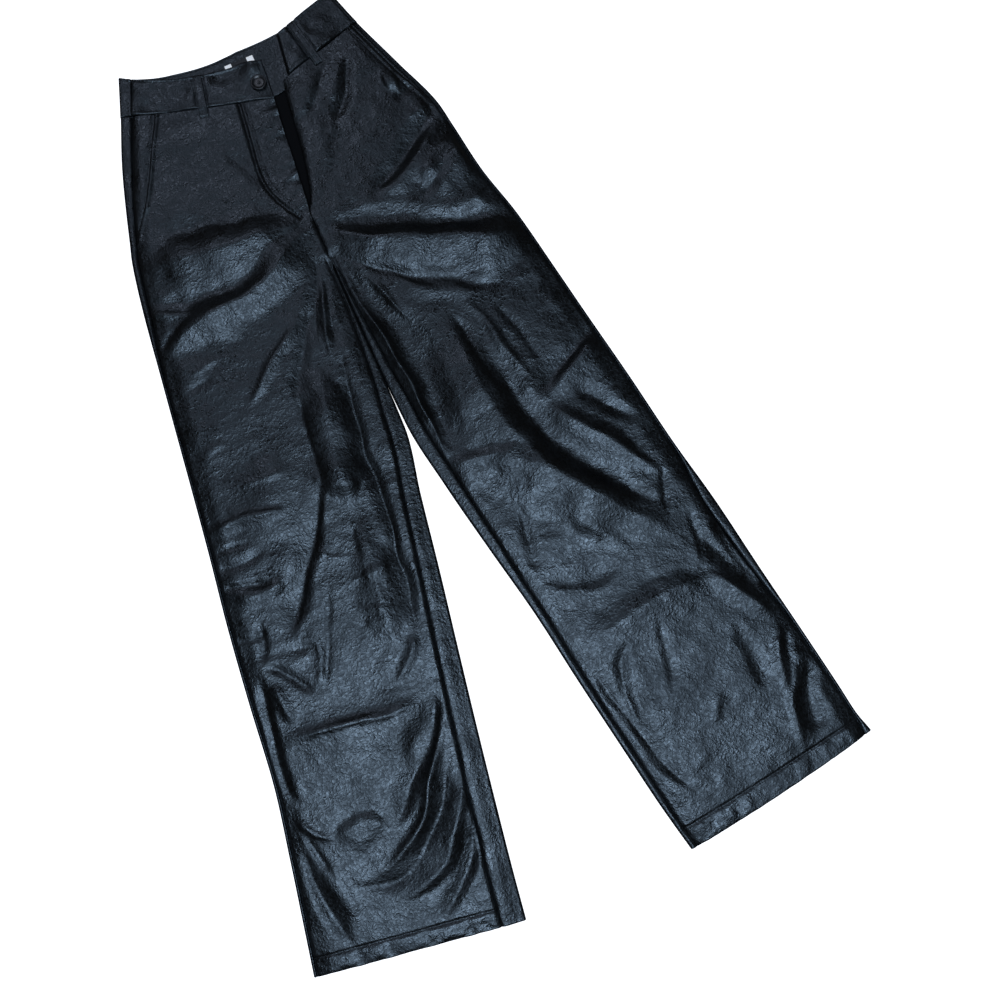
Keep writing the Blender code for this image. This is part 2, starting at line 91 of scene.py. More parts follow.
paper = bpy.data.meshes.new("paper")
low, high = -PAPER_HALF, PAPER_HALF
corners = [(low, low), (high, low), (high, high), (low, high)]
paper.from_pydata([(*corner, -PAPER_BELOW) for corner in corners], [], [(0, 1, 2, 3)])
white = bpy.data.materials.new("white_paper")
white.use_nodes = True
shader = white.node_tree.nodes["Principled BSDF"]
shader.inputs["Base Color"].default_value = (0.9, 0.9, 0.9, 1)
shader.inputs["Roughness"].default_value = 0.9
shader.inputs["Emission Color"].default_value = (1, 1, 1, 1)
shader.inputs["Emission Strength"].default_value = 1.0
paper.materials.append(white)
floor = added("paper", paper)
floor.visible_glossy = floor.visible_diffuse = False  # it throws no light up at the leather


# ---------------------------------------------------------------------------
# Leather. Black coated cloth with a fine pebbled grain, crinkled across the legs
# and a little duller where it has rubbed; its gloss has a cold, blue-grey cast.
class Tone:
    """One socket of a material. Arithmetic on it adds Math nodes."""

    def __init__(self, tree, socket):
        self.tree, self.socket = tree, socket

    def math(self, operation, first, second=0.0):
        inputs = {0: first, 1: second}
        return grown(self.tree, "ShaderNodeMath", {"operation": operation}, inputs)

    def __add__(self, other):
        return self.math("ADD", self, other)

    def __sub__(self, other):
        return self.math("SUBTRACT", self, other)

    def __rsub__(self, other):
        return self.math("SUBTRACT", other, self)

    def __mul__(self, other):
        return self.math("MULTIPLY", self, other)

    __radd__, __rmul__ = __add__, __mul__

    def size(self):
        return self.math("ABSOLUTE", self)

    def within(self, low, high):
        """0 below low, 1 above high, and a smooth rise between."""
        settings = {"interpolation_type": "SMOOTHSTEP"}
        inputs = {"Value": self, "From Min": low, "From Max": high}
        return grown(self.tree, "ShaderNodeMapRange", settings, inputs)


def filled(node, inputs):
    """Fills in a node's sockets. A Tone is linked, and a value is set on the socket itself."""
    for name, value in inputs.items():
        if isinstance(value, Tone):
            node.id_data.links.new(value.socket, node.inputs[name])
        else:
            node.inputs[name].default_value = value


def grown(tree, kind, settings, inputs, output=0):
    """A new node of this kind, its settings and sockets filled in, and one of its outputs."""
    node = tree.nodes.new(kind)
    for name, value in settings.items():
        setattr(node, name, value)
    filled(node, inputs)
    return Tone(tree, node.outputs[output])


def finish(name):
    """A new material, its object coordinates and its shader."""
    made = bpy.data.materials.new(name)
    made.use_nodes = True
    nodes = made.node_tree.nodes
    place = Tone(made.node_tree, nodes.new("ShaderNodeTexCoord").outputs["Object"])
    return made, place, nodes["Principled BSDF"]


def blended(share, first, second):
    """Two colours mixed by a share."""
    inputs = {"Factor": share, "A": (*first, 1), "B": (*second, 1)}
    return grown(share.tree, "ShaderNodeMix", {"data_type": "RGBA"}, inputs, 2)


def noise(place, scale, detail=2.0, twist=0.0):
    inputs = {"Vector": place, "Scale": scale, "Detail": detail, "Distortion": twist}
    return grown(place.tree, "ShaderNodeTexNoise", {}, inputs)


def waves(place, scale, direction):
    """The ribs of a weave, or the turns of a thread."""
    settings, inputs = {"bands_direction": direction}, {"Vector": place, "Scale": scale}
    return grown(place.tree, "ShaderNodeTexWave", settings, inputs)


def bumps(height, strength, distance):
    """The normal of a surface with this height on it."""
    inputs = {"Height": height, "Strength": strength, "Distance": distance}
    return grown(height.tree, "ShaderNodeBump", {}, inputs)


PANEL_ROUGHNESS = 0.39
DEEP_BLACK, WORN_BLACK = (0.0008, 0.0008, 0.0009), (0.0034, 0.0036, 0.0041)


def leather_finish(name, duller):
    """Leather that is duller than the panels by this much roughness."""
    made, place, shader = finish(name)
    combed = {"Vector": place, "Scale": (1.0, 1.7, 1.0)}
    combed = grown(place.tree, "ShaderNodeMapping", {}, combed)
    bent = {"Factor": 0.006, "A": place, "B": noise(place, 60)}
    bent = grown(place.tree, "ShaderNodeMix", {"data_type": "VECTOR"}, bent, 1)
    cells = {"Vector": bent, "Scale": 230}
    edges = {"feature": "DISTANCE_TO_EDGE"}
    cells = grown(place.tree, "ShaderNodeTexVoronoi", edges, cells)
    mottle = noise(place, 260, 3).within(0.36, 0.64)
    grain = cells.within(0.0, 0.25) * 0.4 + mottle * 0.6
    specks = noise(place, 900)
    crinkles = 1 - (noise(combed, 110, 3, 0.6) - 0.5).size() * 5
    patches = noise(place, 16, 3)
    worn = noise(place, 60, 5).within(0.5, 0.75)
    rubbed = noise(place, 46).within(0.35, 0.65)
    rough = PANEL_ROUGHNESS + duller + patches.within(0.3, 0.7) * 0.06 + rubbed * 0.1
    filled(shader, {
        "Normal": bumps(grain * 0.9 + specks * 0.25 + crinkles * 0.4, 0.42, 0.0006),
        "Base Color": blended(worn * 0.5 + patches * 0.4, DEEP_BLACK, WORN_BLACK),
        "Roughness": rough - grain * 0.2,
        "Specular Tint": (0.8, 0.92, 1.0, 1),
        "Specular IOR Level": 0.7,
    })
    return made


LEATHER = leather_finish("black_leather", 0.0)
BAND_LEATHER = leather_finish("band_leather", 0.04)

PAINTED_SHADE_TWILL, place, shader = finish("black_twill")  # faces the fly and the underlap; its dull, unreflecting black is painted shade for the gap beside the fly
filled(shader, {
    "Normal": bumps(noise(place, 1600, 1), 0.3, 0.0004),
    "Base Color": (0.0035, 0.0035, 0.004, 1),
    "Roughness": 0.95,
    "Specular IOR Level": 0.15,
})

# ---------------------------------------------------------------------------
# The cut. Each row is one cross-section, from the top of the waistband to the hem:
# the folded outer edge, the centre line or the folded inner edge, and what lies between.
Section = namedtuple(
    "Section",
    "outer_x outer_y inner_x inner_y seam_in mouth_in inseam_in back_up front_sag back_sag lap",
    defaults=(0, 0, 0, 0),
)
RIGHT = [
    Section(-146, 562.9, 0.5, 517, 14, 42, 4, 21, 11, 11, 25),
    Section(-163, 514, 0.5, 464, 14, 42, 4, 24, 2, 11, 20),  # waist seam
    Section(-187, 450, 0.5, 406, 13, 36, 4, 18, 0, 8, 13),
    Section(-202, 400, 0.5, 359, 10, 26, 4, 12, 0, 4, 8),
    Section(-213, 360, 0.5, 320, 9, 11, 4, 8, 0, 2, 4),  # end of the pocket
    Section(-219, 338, 0.5, 298, 9, 9, 4, 6, 0, 1, 1),  # end of the fly
    Section(-230, 275, 1.1, 235, 9, 9, 4),  # crotch
    Section(-241, 190, 1.1, 150, 5, 5, 7),
    Section(-250, 120, 1.1, 80, 4.5, 4.5, 12.5),
    Section(-258, 57, 0, 17, 4.5, 4.5, 20),  # where the legs part
    Section(-269.5, -30, -16, -70, 4.5, 4.5, 21),
    Section(-282.5, -120, -32, -160, 4.5, 4.5, 23.5),
    Section(-293, -210, -49, -250, 4.5, 4.5, 25.5),
    Section(-302, -300, -66, -341, 4.5, 4.5, 27),
    Section(-318, -390, -82, -431, 4.5, 4.5, 28.5),
    Section(-331.5, -460, -94, -501, 4.5, 4.5, 29.5),
    Section(-342, -514, -102.5, -555, 4.5, 4.5, 29),  # hem
]
LEFT = [
    Section(138, 562, 1.5, 521, 4.5, 10, 4, 17, 0, 8.5, -57),
    Section(153, 511, 1.5, 465, 4.5, 10, 4, 23, 0, 8.5, -49),
    Section(179, 440, 1.5, 398, 4.5, 10, 4, 17, 0, 7, -37),
    Section(203, 369, 1.5, 330, 4.5, 6, 4, 9, 0, 2, -13),
    Section(207, 338, 1.8, 299, 4.5, 4.5, 4, 6, 0, 1),
    Section(215, 275, 0.9, 239, 4.5, 4.5, 4),
    Section(232, 200, 0.9, 166, 4.5, 4.5, 7),
    Section(244.5, 120, 0.9, 87, 4.5, 4.5, 12.5),
    Section(255, 50, 2.4, 17, 4.5, 4.5, 17),
    Section(269, -40, 15, -72, 4.5, 4.5, 16),
    Section(281.5, -130, 31, -161, 4.5, 4.5, 13),
    Section(297, -220, 48, -251, 14, 14, 9),
    Section(309, -310, 61, -341, 10, 10, 8),
    Section(322, -400, 75, -431, 4.5, 4.5, 8),
    Section(331.5, -470, 86, -501, 4.5, 4.5, 7.5),
    Section(335.5, -503, 92, -533, 4.5, 4.5, 7, 0, 1.5, 1.5),
    Section(342, -528, 98, -562.6, 10, 10, 7, 0, 3, 3),
]
WALL, GAP = 1.2, 0.3  # one layer of leather, and the space between two at a seam
EDGE_RADIUS = 3.2  # of the fold at each side of a leg
EDGE_EASE = 12.0  # width over which a crease dies out at an edge
LOOP_LIFT = 2.1  # the belt loops behind hold the waist up
LIFT_FULL, LIFT_NONE = 496.0, 440.0  # heights on the outer edge, as are the next three lines
POCKET_END, DROP_END = 352.0, 326.0
LIP_FULL, LIP_NONE = 366.0, 338.0
HIP_END, CROTCH = 290.0, 275.0
LOWEST_FRONT = 3.9  # the front rests on the back where it sinks deepest
PLUMP, PLUMP_EASE = 3.2, 24.0  # air under the front, and the width over which it rises


def smooth(value):
    value = np.clip(value, 0, 1)
    return value * value * (3 - 2 * value)


def mix(a, b, share):
    return a + (b - a) * share


def cut_at(rows, heights):
    """The cross-sections whose outer edges are at these heights, on curves with no overshoot."""
    table = np.array(rows, float)[::-1]
    steps = np.diff(table[:, 1])[:, None]
    secants = np.diff(table, axis=0) / steps
    before, after = secants[:-1], secants[1:]
    product, total = before * after, before + after
    inside = np.where(product > 0, 2 * product / np.where(total == 0, 1, total), 0)
    slopes = np.vstack([secants[:1], inside, secants[-1:]])
    heights = np.asarray(heights, float)
    i = np.clip(np.searchsorted(table[:, 1], heights, "right") - 1, 0, len(table) - 2)
    step = steps[i]
    t = ((heights - table[i, 1]) / step[..., 0])[..., None]
    values = (
        table[i] * (2 * t**3 - 3 * t**2 + 1)
        + table[i + 1] * (3 * t**2 - 2 * t**3)
        + slopes[i] * step * (t**3 - 2 * t**2 + t)
        + slopes[i + 1] * step * (t**3 - t**2)
    )
    return Section(*np.moveaxis(values, -1, 0))


def width_of(cut):
    return np.hypot(cut.inner_x - cut.outer_x, cut.inner_y - cut.outer_y)


def front_place(cut, inward):
    """Where a distance in from the outer edge lies in plan, on the front."""
    u = inward / width_of(cut)
    bow = np.where(u < 1, 4 * u * (1 - u), 0)
    x = mix(cut.outer_x, cut.inner_x, u)
    return x, mix(cut.outer_y, cut.inner_y, u) - cut.front_sag * bow


def back_place(cut, inward):
    u = inward / width_of(cut)
    x = mix(cut.outer_x, cut.inner_x, u)
    return x, mix(cut.outer_y, cut.inner_y + cut.back_up, u) - cut.back_sag * 4 * u * (1 - u)


def lift_at(height):
    return LOOP_LIFT * smooth((height - LIFT_NONE) / (LIFT_FULL - LIFT_NONE))


def hip_share(height):
    return smooth((height - CROTCH) / (HIP_END - CROTCH))


def pocket_drop(height):
    return (WALL + GAP) * smooth((height - DROP_END) / (POCKET_END - DROP_END))


# ---------------------------------------------------------------------------
# Creases. The leather has been worn and laid down by hand, so drag lines leave the
# crotch, long folds cross the thighs to the knees, and the shins are broken by short ones.
# Each row is one crease. Its height is below 0 in a trough, left and right are how far it
# spreads from its path, and round is the shape of its crest, from 0, crisp, to 1, round.
Crease = namedtuple("Crease", "height left right round path")
RIGHT_CREASES = [
    # Across the hip from the crotch.
    (-2.5, 22, 22, 0.5, [(-10, 314), (-60, 324), (-120, 340), (-185, 357)]),
    (10, 54, 40, 0.6, [(-8, 297), (-50, 299), (-100, 306), (-150, 311), (-212, 322)]),
    (-2.5, 20, 20, 0.6, [(-58, 270), (-100, 256), (-154, 253), (-202, 270), (-238, 284)]),
    (10.5, 42, 26, 0.5, [
        (2, 292), (-35, 278), (-62, 254), (-95, 238), (-150, 237), (-200, 226), (-238, 203)
    ]),
    (-2, 7, 7, 0.1, [(-165, 246), (-200, 238), (-238, 216)]),
    (2, 6, 8, 0.2, [(-237, 274), (-205, 256), (-178, 242)]),
    (-1.5, 12, 12, 0.6, [(-65, 418), (-50, 396), (-41, 375), (-37, 350)]),
    # Rays from the crotch down the thigh.
    (-3, 16, 16, 0.3, [(-8, 262), (-26, 222), (-42, 180), (-60, 135)]),
    (4, 12, 9, 0.1, [(-58, 187), (-92, 166), (-125, 140), (-165, 110)]),
    (-3.5, 16, 14, 0.3, [(-40, 205), (-62, 165), (-88, 125), (-110, 90)]),
    (-2, 10, 10, 0.2, [(-12, 235), (-22, 185), (-34, 130)]),
    (2, 8, 8, 0.3, [(-18, 225), (-33, 170), (-48, 120)]),
    (-1.5, 9, 9, 0.1, [(-179, 163), (-221, 157)]),
    (1.5, 8, 8, 0.5, [(-167, 183), (-208, 175)]),
    # Down the thigh.
    (8, 30, 34, 0.8, [(-70, 125), (-76, 70), (-88, 10), (-100, -55)]),
    (-4.5, 12, 18, 0.2, [(-28, 140), (-42, 85), (-53, 29), (-58, -50), (-74, -163), (-86, -240)]),
    (4, 24, 30, 0.6, [(-90, -60), (-98, -110), (-108, -160), (-112, -230)]),
    (-2.5, 7, 9, 0.1, [(-100, 120), (-106, 60), (-112, 15), (-118, -30)]),
    (-7, 14, 34, 0.3, [(-122, -10), (-135, -45), (-162, -86), (-195, -128), (-222, -165)]),
    (3, 16, 6, 0.1, [(-112, 10), (-120, -30), (-152, -76), (-190, -128), (-215, -165)]),
    (2, 30, 36, 1, [(-165, 60), (-172, 0), (-195, -60)]),
    (4.5, 9, 18, 0.3, [(-268, -6), (-230, -8), (-190, -14), (-160, -22)]),
    (-2.5, 9, 9, 0.1, [(-272, -52), (-235, -58), (-200, -52)]),
    (-3, 8, 9, 0.1, [(-278, -74), (-240, -82), (-212, -92)]),
    (3, 12, 18, 0.5, [(-262, -92), (-232, -98), (-198, -96)]),
    (1.5, 6, 6, 0.1, [(-149, -73), (-147, -91), (-115, -103)]),
    (-1.5, 6, 6, 0.2, [(-104, -68), (-112, -113)]),
    (2.5, 12, 20, 0.5, [(-118, -14), (-98, -20), (-74, -25)]),
    (1.5, 10, 8, 0.4, [(-122, -130), (-80, -131)]),
    (1, 6, 8, 0.3, [(-144, -160), (-104, -172)]),
    (1, 7, 7, 0.5, [(-207, 27), (-145, 23)]),
    (1, 6, 6, 0.5, [(-231, 77), (-199, 84)]),
    (-1.5, 6, 6, 0.1, [(-276, -31), (-236, -35), (-208, -45)]),
    # At the knee.
    (-2.5, 9, 9, 0.1, [(-246, -125), (-250, -148), (-262, -178)]),
    (-1.5, 10, 10, 0.2, [(-262, -166), (-230, -170), (-194, -180)]),
    (-3.5, 14, 10, 0.2, [(-263, -178), (-247, -184), (-234, -205), (-221, -231)]),
    (3.5, 16, 14, 0.5, [(-256, -196), (-258, -225), (-250, -252)]),
    (1.5, 8, 8, 0.2, [(-222, -228), (-203, -212), (-195, -190), (-196, -160)]),
    (-5, 12, 18, 0.2, [(-264, -178), (-277, -221), (-286, -267), (-292, -309), (-283, -345)]),
    (-1.5, 6, 6, 0.1, [(-286, -135), (-258, -146), (-237, -134)]),
    (-1.5, 6, 6, 0.1, [(-150, -107), (-193, -203), (-209, -246)]),
    (2, 10, 10, 0.4, [(-83, -210), (-103, -238), (-131, -259)]),
    # Across the shin.
    (4.5, 28, 60, 0.4, [(-280, -261), (-240, -270), (-194, -277), (-150, -284), (-98, -291)]),
    (-1.5, 18, 9, 0.3, [(-272, -256), (-194, -269), (-104, -281)]),
    (2, 6, 8, 0, [(-272, -265), (-194, -278), (-104, -291)]),
    # Round the calf.
    (-7, 16, 32, 0.4, [(-88, -280), (-106, -312), (-140, -348), (-172, -384), (-200, -408)]),
    (4.5, 12, 10, 0.15, [
        (-90, -300), (-109, -331), (-137, -369), (-157, -404), (-188, -430), (-238, -444)
    ]),
    (-3.5, 14, 14, 0.2, [
        (-103, -345), (-128, -388), (-150, -420),
        (-175, -443), (-205, -457), (-240, -456), (-275, -436)
    ]),
    (4.5, 14, 18, 0.5, [(-98, -370), (-118, -410), (-140, -445), (-170, -468), (-222, -483)]),
    (-5, 14, 22, 0.4, [(-106, -425), (-128, -462), (-152, -492), (-190, -522)]),
    (-1.5, 20, 12, 0.6, [
        (-268, -388), (-252, -376), (-232, -372), (-213, -375), (-200, -388), (-196, -408)
    ]),
    (2, 18, 30, 0.9, [(-262, -398), (-240, -386), (-218, -388), (-203, -404)]),
    (2.5, 8, 8, 0.2, [(-296, -347), (-283, -370), (-262, -388)]),
    (-2.5, 8, 8, 0.1, [(-292, -360), (-288, -397), (-278, -432)]),
    (-4.5, 16, 12, 0.3, [(-300, -378), (-304, -415), (-298, -458), (-286, -505)]),
    (2, 16, 16, 1, [(-280, -400), (-280, -440), (-268, -483)]),
]
LEFT_CREASES = [
    # Below the waist.
    (3, 30, 30, 1, [(56, 535), (50, 480), (39, 407), (16, 333), (3, 296)]),
    (-3, 14, 12, 0.3, [(129, 483), (116, 458), (103, 434), (72, 390)]),
    (-2.5, 10, 10, 0.1, [(103, 480), (80, 455), (62, 434), (43, 416)]),
    (1.5, 14, 14, 1, [(118, 478), (101, 450), (79, 424)]),
    (3.5, 16, 22, 0.8, [(168, 418), (158, 419), (146, 419)]),
    (-2.5, 12, 12, 0.2, [(185, 405), (165, 398), (150, 393)]),
    (2, 10, 10, 0.4, [(194, 375), (158, 367)]),
    # Across the hip to the crotch.
    (-4.5, 20, 22, 0.6, [(204, 374), (170, 350), (139, 327), (105, 304), (76, 290)]),
    (5.5, 26, 16, 0.5, [(186, 350), (152, 318), (118, 300), (82, 288)]),
    (-4, 16, 14, 0.5, [(204, 318), (170, 292), (150, 278), (134, 266)]),
    (11, 34, 60, 0.5, [(136, 278), (170, 296), (205, 305), (240, 300)]),
    (2.5, 16, 34, 0.7, [(210, 246), (177, 235), (148, 240)]),
    (-5, 30, 20, 0.6, [(4, 285), (43, 268), (109, 241), (175, 215), (232, 203)]),
    (11, 28, 54, 0.6, [(8, 272), (60, 245), (110, 223), (165, 196), (215, 179), (248, 170)]),
    (-2, 12, 12, 0.3, [(66, 192), (100, 172), (143, 142), (192, 120)]),
    (2.5, 9, 20, 0.3, [(56, 188), (85, 168), (115, 152), (152, 127)]),
    (-2.5, 14, 10, 0.1, [(4, 250), (29, 220), (65, 190), (103, 156), (150, 134)]),
    # Rays from the crotch down the thigh.
    (-6, 34, 18, 0.7, [(8, 248), (16, 212), (26, 166), (42, 100), (45, 40), (41, -10), (38, -55)]),
    (3.5, 8, 8, 0.3, [(8, 205), (14, 165), (20, 122), (27, 60), (30, 0), (30, -45)]),
    (2, 7, 7, 0.2, [(30, 205), (48, 160), (60, 120)]),
    (-2.5, 12, 8, 0.1, [(105, 123), (113, 60), (124, 5)]),
    (2.5, 10, 12, 0.4, [(128, 130), (143, 88), (152, 30), (165, -5)]),
    (-2, 9, 9, 0.1, [(160, 110), (178, 60), (180, 15)]),
    # The long fold down the thigh.
    (9, 34, 60, 0.5, [
        (95, 120), (100, 60), (104, 0), (112, -48),
        (134, -94), (160, -140), (196, -186), (242, -242)
    ]),
    (-4.5, 28, 18, 0.6, [
        (122, 95), (127, 30), (135, -25), (152, -76), (178, -120), (205, -160), (246, -208)
    ]),
    (4, 14, 36, 0.5, [(22, -48), (58, -58), (90, -63), (120, -66)]),
    (5, 22, 70, 0.8, [(58, -72), (110, -84), (150, -124), (196, -178)]),
    (2, 16, 16, 0.6, [(128, -159), (157, -196), (181, -229)]),
    (-2.5, 14, 22, 1, [(165, -236), (112, -241), (69, -218)]),
    (-2, 12, 12, 0.5, [(84, -120), (78, -170), (70, -215)]),
    # At the outer knee.
    (-3, 9, 20, 0.4, [(262, 38), (230, 20), (207, 8), (178, -5), (152, -20)]),
    (4.5, 32, 13, 0.3, [(264, 26), (230, 8), (200, -6), (165, -24)]),
    (-3.5, 18, 16, 0.5, [(192, -24), (214, -41), (240, -72), (264, -98)]),
    (5, 14, 24, 0.4, [(156, -24), (185, -60), (210, -94), (236, -132), (252, -168)]),
    (-2.5, 9, 9, 0.1, [(255, -148), (246, -186), (238, -210)]),
    (-2, 8, 8, 0.1, [(268, -209), (257, -240), (252, -282)]),
    # Across the shin.
    (4.5, 44, 24, 0.4, [(262, -293), (220, -292), (184, -293), (135, -299), (72, -308)]),
    # Down the shin.
    (-4.5, 16, 18, 0.5, [(256, -236), (270, -268), (282, -302), (300, -345)]),
    (4, 14, 24, 0.2, [(250, -285), (268, -312), (286, -343), (303, -372)]),
    (-3.5, 13, 14, 0.3, [(283, -227), (286, -268), (292, -305), (306, -340)]),
    (-2.5, 9, 9, 0.1, [(309, -381), (297, -400), (286, -430), (275, -462)]),
    (2.5, 9, 9, 0.3, [(300, -377), (281, -410), (272, -452)]),
    (-4.5, 18, 18, 0.5, [(308, -420), (302, -450), (294, -475), (282, -514)]),
    (2.5, 12, 10, 0.4, [(297, -393), (285, -435), (268, -483), (259, -533)]),
    (-2, 14, 14, 1, [(251, -346), (256, -388), (258, -439)]),
    (-1.5, 8, 8, 0.1, [(179, -304), (161, -379), (148, -412)]),
    (-2.5, 12, 12, 0.3, [(134, -320), (112, -345), (104, -378), (102, -417)]),
    (1.5, 9, 9, 0.5, [(205, -417), (190, -429), (185, -450)]),
    (-4, 26, 12, 0.4, [(78, -325), (88, -375), (99, -425), (112, -478), (135, -520)]),
]

LATTICE = (97, 89)  # the cells of a ripple each way, before it comes round again


def ripple(x, y, cell, seed):
    """Smooth random waves of about -1 to 1, one for each cell of this size."""
    lattice = np.random.default_rng(seed).uniform(-1, 1, LATTICE)
    i, j = np.floor(x / cell).astype(int), np.floor(y / cell).astype(int)
    u, v = smooth(x / cell - i), smooth(y / cell - j)
    here, beside = i % LATTICE[0], (i + 1) % LATTICE[0]
    near, far = (
        mix(lattice[here, k % LATTICE[1]], lattice[beside, k % LATTICE[1]], u) for k in (j, j + 1)
    )
    return mix(near, far, v)


def grid_of(*sizes):
    """Points from their sizes along each axis, all spread over one grid."""
    return np.stack(np.broadcast_arrays(*sizes), -1)


def rounded(path):
    """The path with its corners cut twice."""
    points = np.array(path, float)
    for _ in range(2):
        before, after = points[:-1], points[1:]
        cut = [0.75 * before + 0.25 * after, 0.25 * before + 0.75 * after]
        points = np.vstack([points[:1], np.stack(cut, 1).reshape(-1, 2), points[-1:]])
    return points


CREASE_TAPER = 0.28  # the share of its length over which a crease dies out at each end
CREASE_NARROW = 0.45  # how wide it is at its end
CREASE_WAVER, WAVER_CELL = 0.22, 34  # how uneven it is along its length
STRAY, STRAY_CELL = 2.6, 31  # how far creases stray from their paths
CREASE_MARGIN = 1.25  # how much further than its width an uneven crease may reach


def crease_height(crease, x, y, seed):
    """What one crease adds at places near it."""
    path = rounded(crease.path)
    starts, runs = path[:-1], np.diff(path, axis=0)
    lengths = np.hypot(*runs.T)
    passed = np.concatenate([[0], np.cumsum(lengths)])
    offset = grid_of(x, y)[:, None] - starts
    t = np.clip((offset * runs).sum(-1) / lengths**2, 0, 1)
    away = offset - t[..., None] * runs
    distance = np.hypot(away[..., 0], away[..., 1])
    nearest = distance.argmin(1)
    row = np.arange(len(x))
    along = (passed[nearest] + t[row, nearest] * lengths[nearest]) / passed[-1]
    side = runs[nearest, 0] * away[row, nearest, 1] - runs[nearest, 1] * away[row, nearest, 0]
    ends = smooth(along / CREASE_TAPER) * smooth((1 - along) / CREASE_TAPER)
    uneven = 1 + CREASE_WAVER * ripple(along * passed[-1], 0, WAVER_CELL, seed)
    reach = np.where(side > 0, crease.left, crease.right) * mix(CREASE_NARROW, 1, ends) * uneven
    t = np.clip(distance[row, nearest] / reach, 0, 1)
    across = mix((1 - t) ** 2, (1 - t * t) ** 2, crease.round)
    return crease.height * ends * uneven * across


def creased(creases, x, y):
    """All the creases at these places, their lines made unsteady by hand-sized waves."""
    shape = x.shape
    x, y = x.ravel(), y.ravel()
    x, y = x + STRAY * ripple(x, y, STRAY_CELL, 1), y + STRAY * ripple(x, y, STRAY_CELL, 2)
    total = np.zeros(len(x))
    for seed, row in enumerate(creases):
        crease = Crease(*row)
        reach = CREASE_MARGIN * max(crease.left, crease.right)
        low, high = np.min(crease.path, axis=0) - reach, np.max(crease.path, axis=0) + reach
        near = (x > low[0]) & (x < high[0]) & (y > low[1]) & (y < high[1])
        total[near] += crease_height(crease, x[near], y[near], seed)
    return total.reshape(shape)


def hand_feel(x, y):
    """The slight hills and crinkles that leather keeps all over."""
    hills = 0.5 * ripple(x, y, 62, 11) + 0.65 * ripple(x, y, 26, 12) + 0.3 * ripple(x, y, 14, 17)
    sharp = 1 - np.abs(ripple(x + 9 * ripple(x, y, 40, 13), y, 17, 14)) * 2.4
    sharp = 0.4 * np.clip(sharp, 0, 1) * (0.4 + 0.6 * ripple(x, y, 45, 16) ** 2)
    return hills + sharp + 0.24 * ripple(x, y * 1.6, 8.5, 15)


PUCKER = 0.45  # how far a sewn edge is drawn up between its stitches
PUCKER_PITCH, PUCKER_REACH = 5.5, 9.0


def puckers(height, from_seam, seed):
    """A sewn edge drawn up between its stitches, less so away from it."""
    drawn = PUCKER * ripple(height, 3, PUCKER_PITCH, seed)
    return drawn * np.exp(-np.abs(from_seam) / PUCKER_REACH)


SEAM_GROOVE, GROOVE_REACH = 1.5, 1.9  # how deep a seam lies, and over what width
STITCH_GROOVE, STITCH_REACH = 0.55, 1.2
WAIST_EASE, WAIST_RELIEF = 50.0, 0.4  # the waistband holds the leather flatter just below it
HEM_ROW = 19.0  # the hem's stitches are this far above its edge
HEM_GROOVE, FLY_GROOVES = 1.9, (4.5, 1.6)  # how much deeper the hem's and the fly's rows lie
HEM_REACH, FLY_REACH = 1.5, 2.2  # over what width
MOUTH_ROLL, MOUTH_WIDE = 1.1, 2.4  # how proud the slanted pocket's mouth stands, and its width
MOUTH_ROW = 6.0  # its stitches are this far in from it
MOUTH_EASE = 9.0  # the height over which the mouth turns into the outseam
FLY_SAG, SAG_WIDE = 2.2, 30  # how far the left front sinks beside the fly before it turns down
FLAP_RIPPLE, FLAP_REACH = 3.0, 9  # the waves along the flap's free edge, and how far they go in
FLAP_END = 300  # they die out at this height
STRIP_PUFF = 0.7  # how far the leather between the inseam and the folded edge swells up
TAB_CLIMB, CREST_CLIMB = 1.3, 3.0  # how far the fronts rise at the waist towards the fly
CLIMB_SIDE, CLIMB_END, CLIMB_EASE = 40, 430.0, 70  # from this far in, and above this height
REST_EASE = 1.1  # how gently the front comes down onto the back
FLY_ROWS = [  # the two rows of stitches that hold the fly, from the waist to its end
    [(-23, 470), (-26, 443), (-31, 409), (-36, 374), (-33, 346), (-23, 323), (-11, 303)],
    [(-16, 471), (-19, 443), (-24, 409), (-29, 375), (-27, 350), (-18, 328), (-6, 309)],
]


def dip(distance, reach=STITCH_REACH):
    """1 on a line of stitches, falling away beside it."""
    return np.exp(-((distance / reach) ** 2))


def from_path(path, x, y):
    """The distance to a path."""
    path = rounded(path)
    starts, runs = path[:-1], np.diff(path, axis=0)
    offset = grid_of(x, y)[..., None, :] - starts
    t = np.clip((offset * runs).sum(-1) / (runs**2).sum(-1), 0, 1)
    return np.hypot(*np.moveaxis(offset - t[..., None] * runs, -1, 0)).min(-1)


